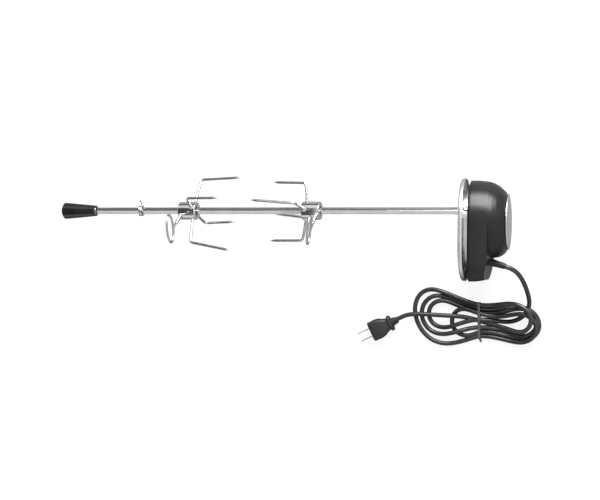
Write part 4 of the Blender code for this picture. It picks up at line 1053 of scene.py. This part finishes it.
def make_plug():
    matrix = plug_frame()
    rings = []
    for behind, width, height, corner in PLUG_RINGS:
        outline = d_outline(-width / 2 * MM, width / 2 * MM, height / 2 * MM, corner * MM, corner * MM, 7)
        rings.append([matrix @ Vector((-behind * MM, y, z)) for y, z in outline])
    shape = bmesh.new()
    skin(shape, rings)
    for side in (-1, 1):
        for rib in range(5):
            behind = (8.5 + 2.6 * rib) * MM
            reach = (15.05 - 0.30 * max(0, rib - 1) ** 1.5) * MM
            line = [matrix @ Vector((-behind, side * reach, z * MM)) for z in (-5.5, -3.0, 0.0, 3.0, 5.5)]
            sweep(shape, line, [0.2 * MM, 0.6 * MM, 0.65 * MM, 0.6 * MM, 0.2 * MM], 10)
    body = add_piece("plug_moulding", shape, "moulding", "motor", ["plug_body"])

    back = 35.0 * MM
    profile = []
    for rib in range(3):
        start = back + 0.1 * MM + 3.6 * MM * rib
        reach = (7.0 - 0.8 * rib) * MM
        profile += [(start, reach - 0.3 * MM), (start + 0.4 * MM, reach)]
        profile += [(start + 1.9 * MM, reach - 0.1 * MM), (start + 2.3 * MM, reach - 1.4 * MM)]
        profile.append((start + 3.5 * MM, reach - 1.5 * MM))
    profile += [(back + 10.8 * MM, 3.5 * MM), (back + 0.1 * MM, 3.5 * MM)]
    backwards = matrix.to_3x3() @ Vector((-1.0, 0.0, 0.0))
    shape = bmesh.new()
    turn_loop(shape, profile, 0.3 * MM, frame_along(matrix.translation, backwards), MEDIUM)
    boot = add_piece("plug_sleeve", shape, "moulding", "motor", ["plug_boot"])
    blades = [make_blade(number, matrix) for number in (1, 2)]
    return [body, boot, *blades]


def make_blade(number, matrix):
    """A flat blade with a rounded end and a hole through it."""
    offset = (-6.35 if number == 1 else 6.35) * MM
    length = 21.0 * MM
    tip = 4.4 * MM
    half = 3.2 * MM
    thick = 0.75 * MM
    hole = 1.6 * MM
    hole_x = length - 4.6 * MM
    outline = []
    bore = []
    for turn in turns(32):
        away = Vector((math.cos(turn), math.sin(turn)))
        limit = length - hole_x
        reach = min(half / max(abs(away.y), 1e-6), (limit if away.x > 0 else hole_x) / max(abs(away.x), 1e-6))
        if away.x > 0:
            reach = min(reach, tip)
        outline.append(Vector((hole_x, 0.0)) + away * reach)
        bore.append(Vector((hole_x, 0.0)) + away * hole)
    edge = 0.25 * MM
    rings = []
    for points, level, inset in (
        (bore, -thick, 0.0), (outline, -thick, edge), (outline, -thick + edge, 0.0),
        (outline, thick - edge, 0.0), (outline, thick, edge), (bore, thick, 0.0),
    ):
        ring = []
        for point in points:
            spot = point.copy()
            if inset:
                spot -= (point - Vector((hole_x, 0.0))).normalized() * inset
            ring.append(matrix @ Vector((spot.x, offset + level, spot.y)))
        rings.append(ring)
    shape = bmesh.new()
    skin(shape, rings, closed=True)
    return add_piece(f"plug_pin_{number}", shape, "brass", "motor", [f"plug_blade_{number}"], smooth=30.0)


def make_ties():
    """A covered wire tie pulled round the hank's middle, its two ends twisted below it."""
    x = 307.0
    around = (
        (-111.2, 9.0), (-112.2, 13.6), (-116.0, 15.6), (-123.0, 14.8), (-130.0, 14.5), (-137.6, 13.8),
        (-142.6, 9.6), (-148.6, 8.4), (-156.0, 8.2), (-162.6, 7.4), (-165.4, 4.0), (-163.0, 0.7),
        (-150.0, 0.4), (-130.0, 0.4), (-116.0, 0.8), (-111.8, 3.8),
    )
    route = smooth_route([Vector((x, y, z)) * MM for y, z in around], 4, closed=True)
    shape = bmesh.new()
    rings = []
    for index, point in enumerate(route):
        after = route[(index + 1) % len(route)]
        along = (after - route[index - 1]).normalized()
        out = X_AXIS.cross(along)
        rings.append([point + X_AXIS * a * MM + out * b * MM for a, b in rounded(
            [(1.9, 0.3), (-1.9, 0.3), (-1.9, -0.3), (1.9, -0.3)], 0.25, closed=True, steps=3
        )])
    skin(shape, rings, closed=True)
    for side in (-1, 1):
        twist = []
        for step in range(25):
            part = step / 24
            turn = side * math.pi / 2 + math.tau * 1.6 * part
            wound = Vector((1.1 * math.cos(turn), 0.0, 1.1 * math.sin(turn)))
            twist.append((Vector((x + 3.0 * part, -164.0 - 6.5 * part, 4.0)) + wound) * MM)
        sweep(shape, twist, [0.9 * MM] * len(twist), 10)
    return add_piece("hank_twist_tie", shape, "tie", "motor", ["hank_tie"])


# CAD nodes that keep their own shape

KEPT_NODES = {
    "zinc": (
        "base_plate", "gear_plate", *(f"gearbox_post_{number}" for number in range(1, 5)),
        "drive_socket", "rotor_bridge", "stator_stud_1", "stator_stud_2",
        "housing_screw_1", "housing_screw_2",
    ),
    "rod": ("axle_one", "axle_two"),
    "nylon": ("output_gear", "gear_one", "gear_two"),
    "bronze": ("rotor_pinion",),
    "core": ("rotor", "stator_core"),
    "winding": ("motor_coil",),
}


def paint_kept_nodes():
    for material, names in KEPT_NODES.items():
        for name in names:
            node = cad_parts[name]
            node.data.materials.clear()
            node.data.materials.append(MATERIALS[material])


def main():
    bpy.context.scene.view_settings.view_transform = "Standard"
    MATERIALS.update(make_materials())
    make_camera()
    make_floor()
    make_world()
    make_light()
    make_rod()
    make_handle()
    make_bushing()
    make_forks()
    make_mounting_plate()
    make_plate_fittings()
    make_shroud()
    make_housing()
    make_strain_relief()
    tie = make_ties()
    make_cord([*make_plug(), tie])
    paint_kept_nodes()


main()
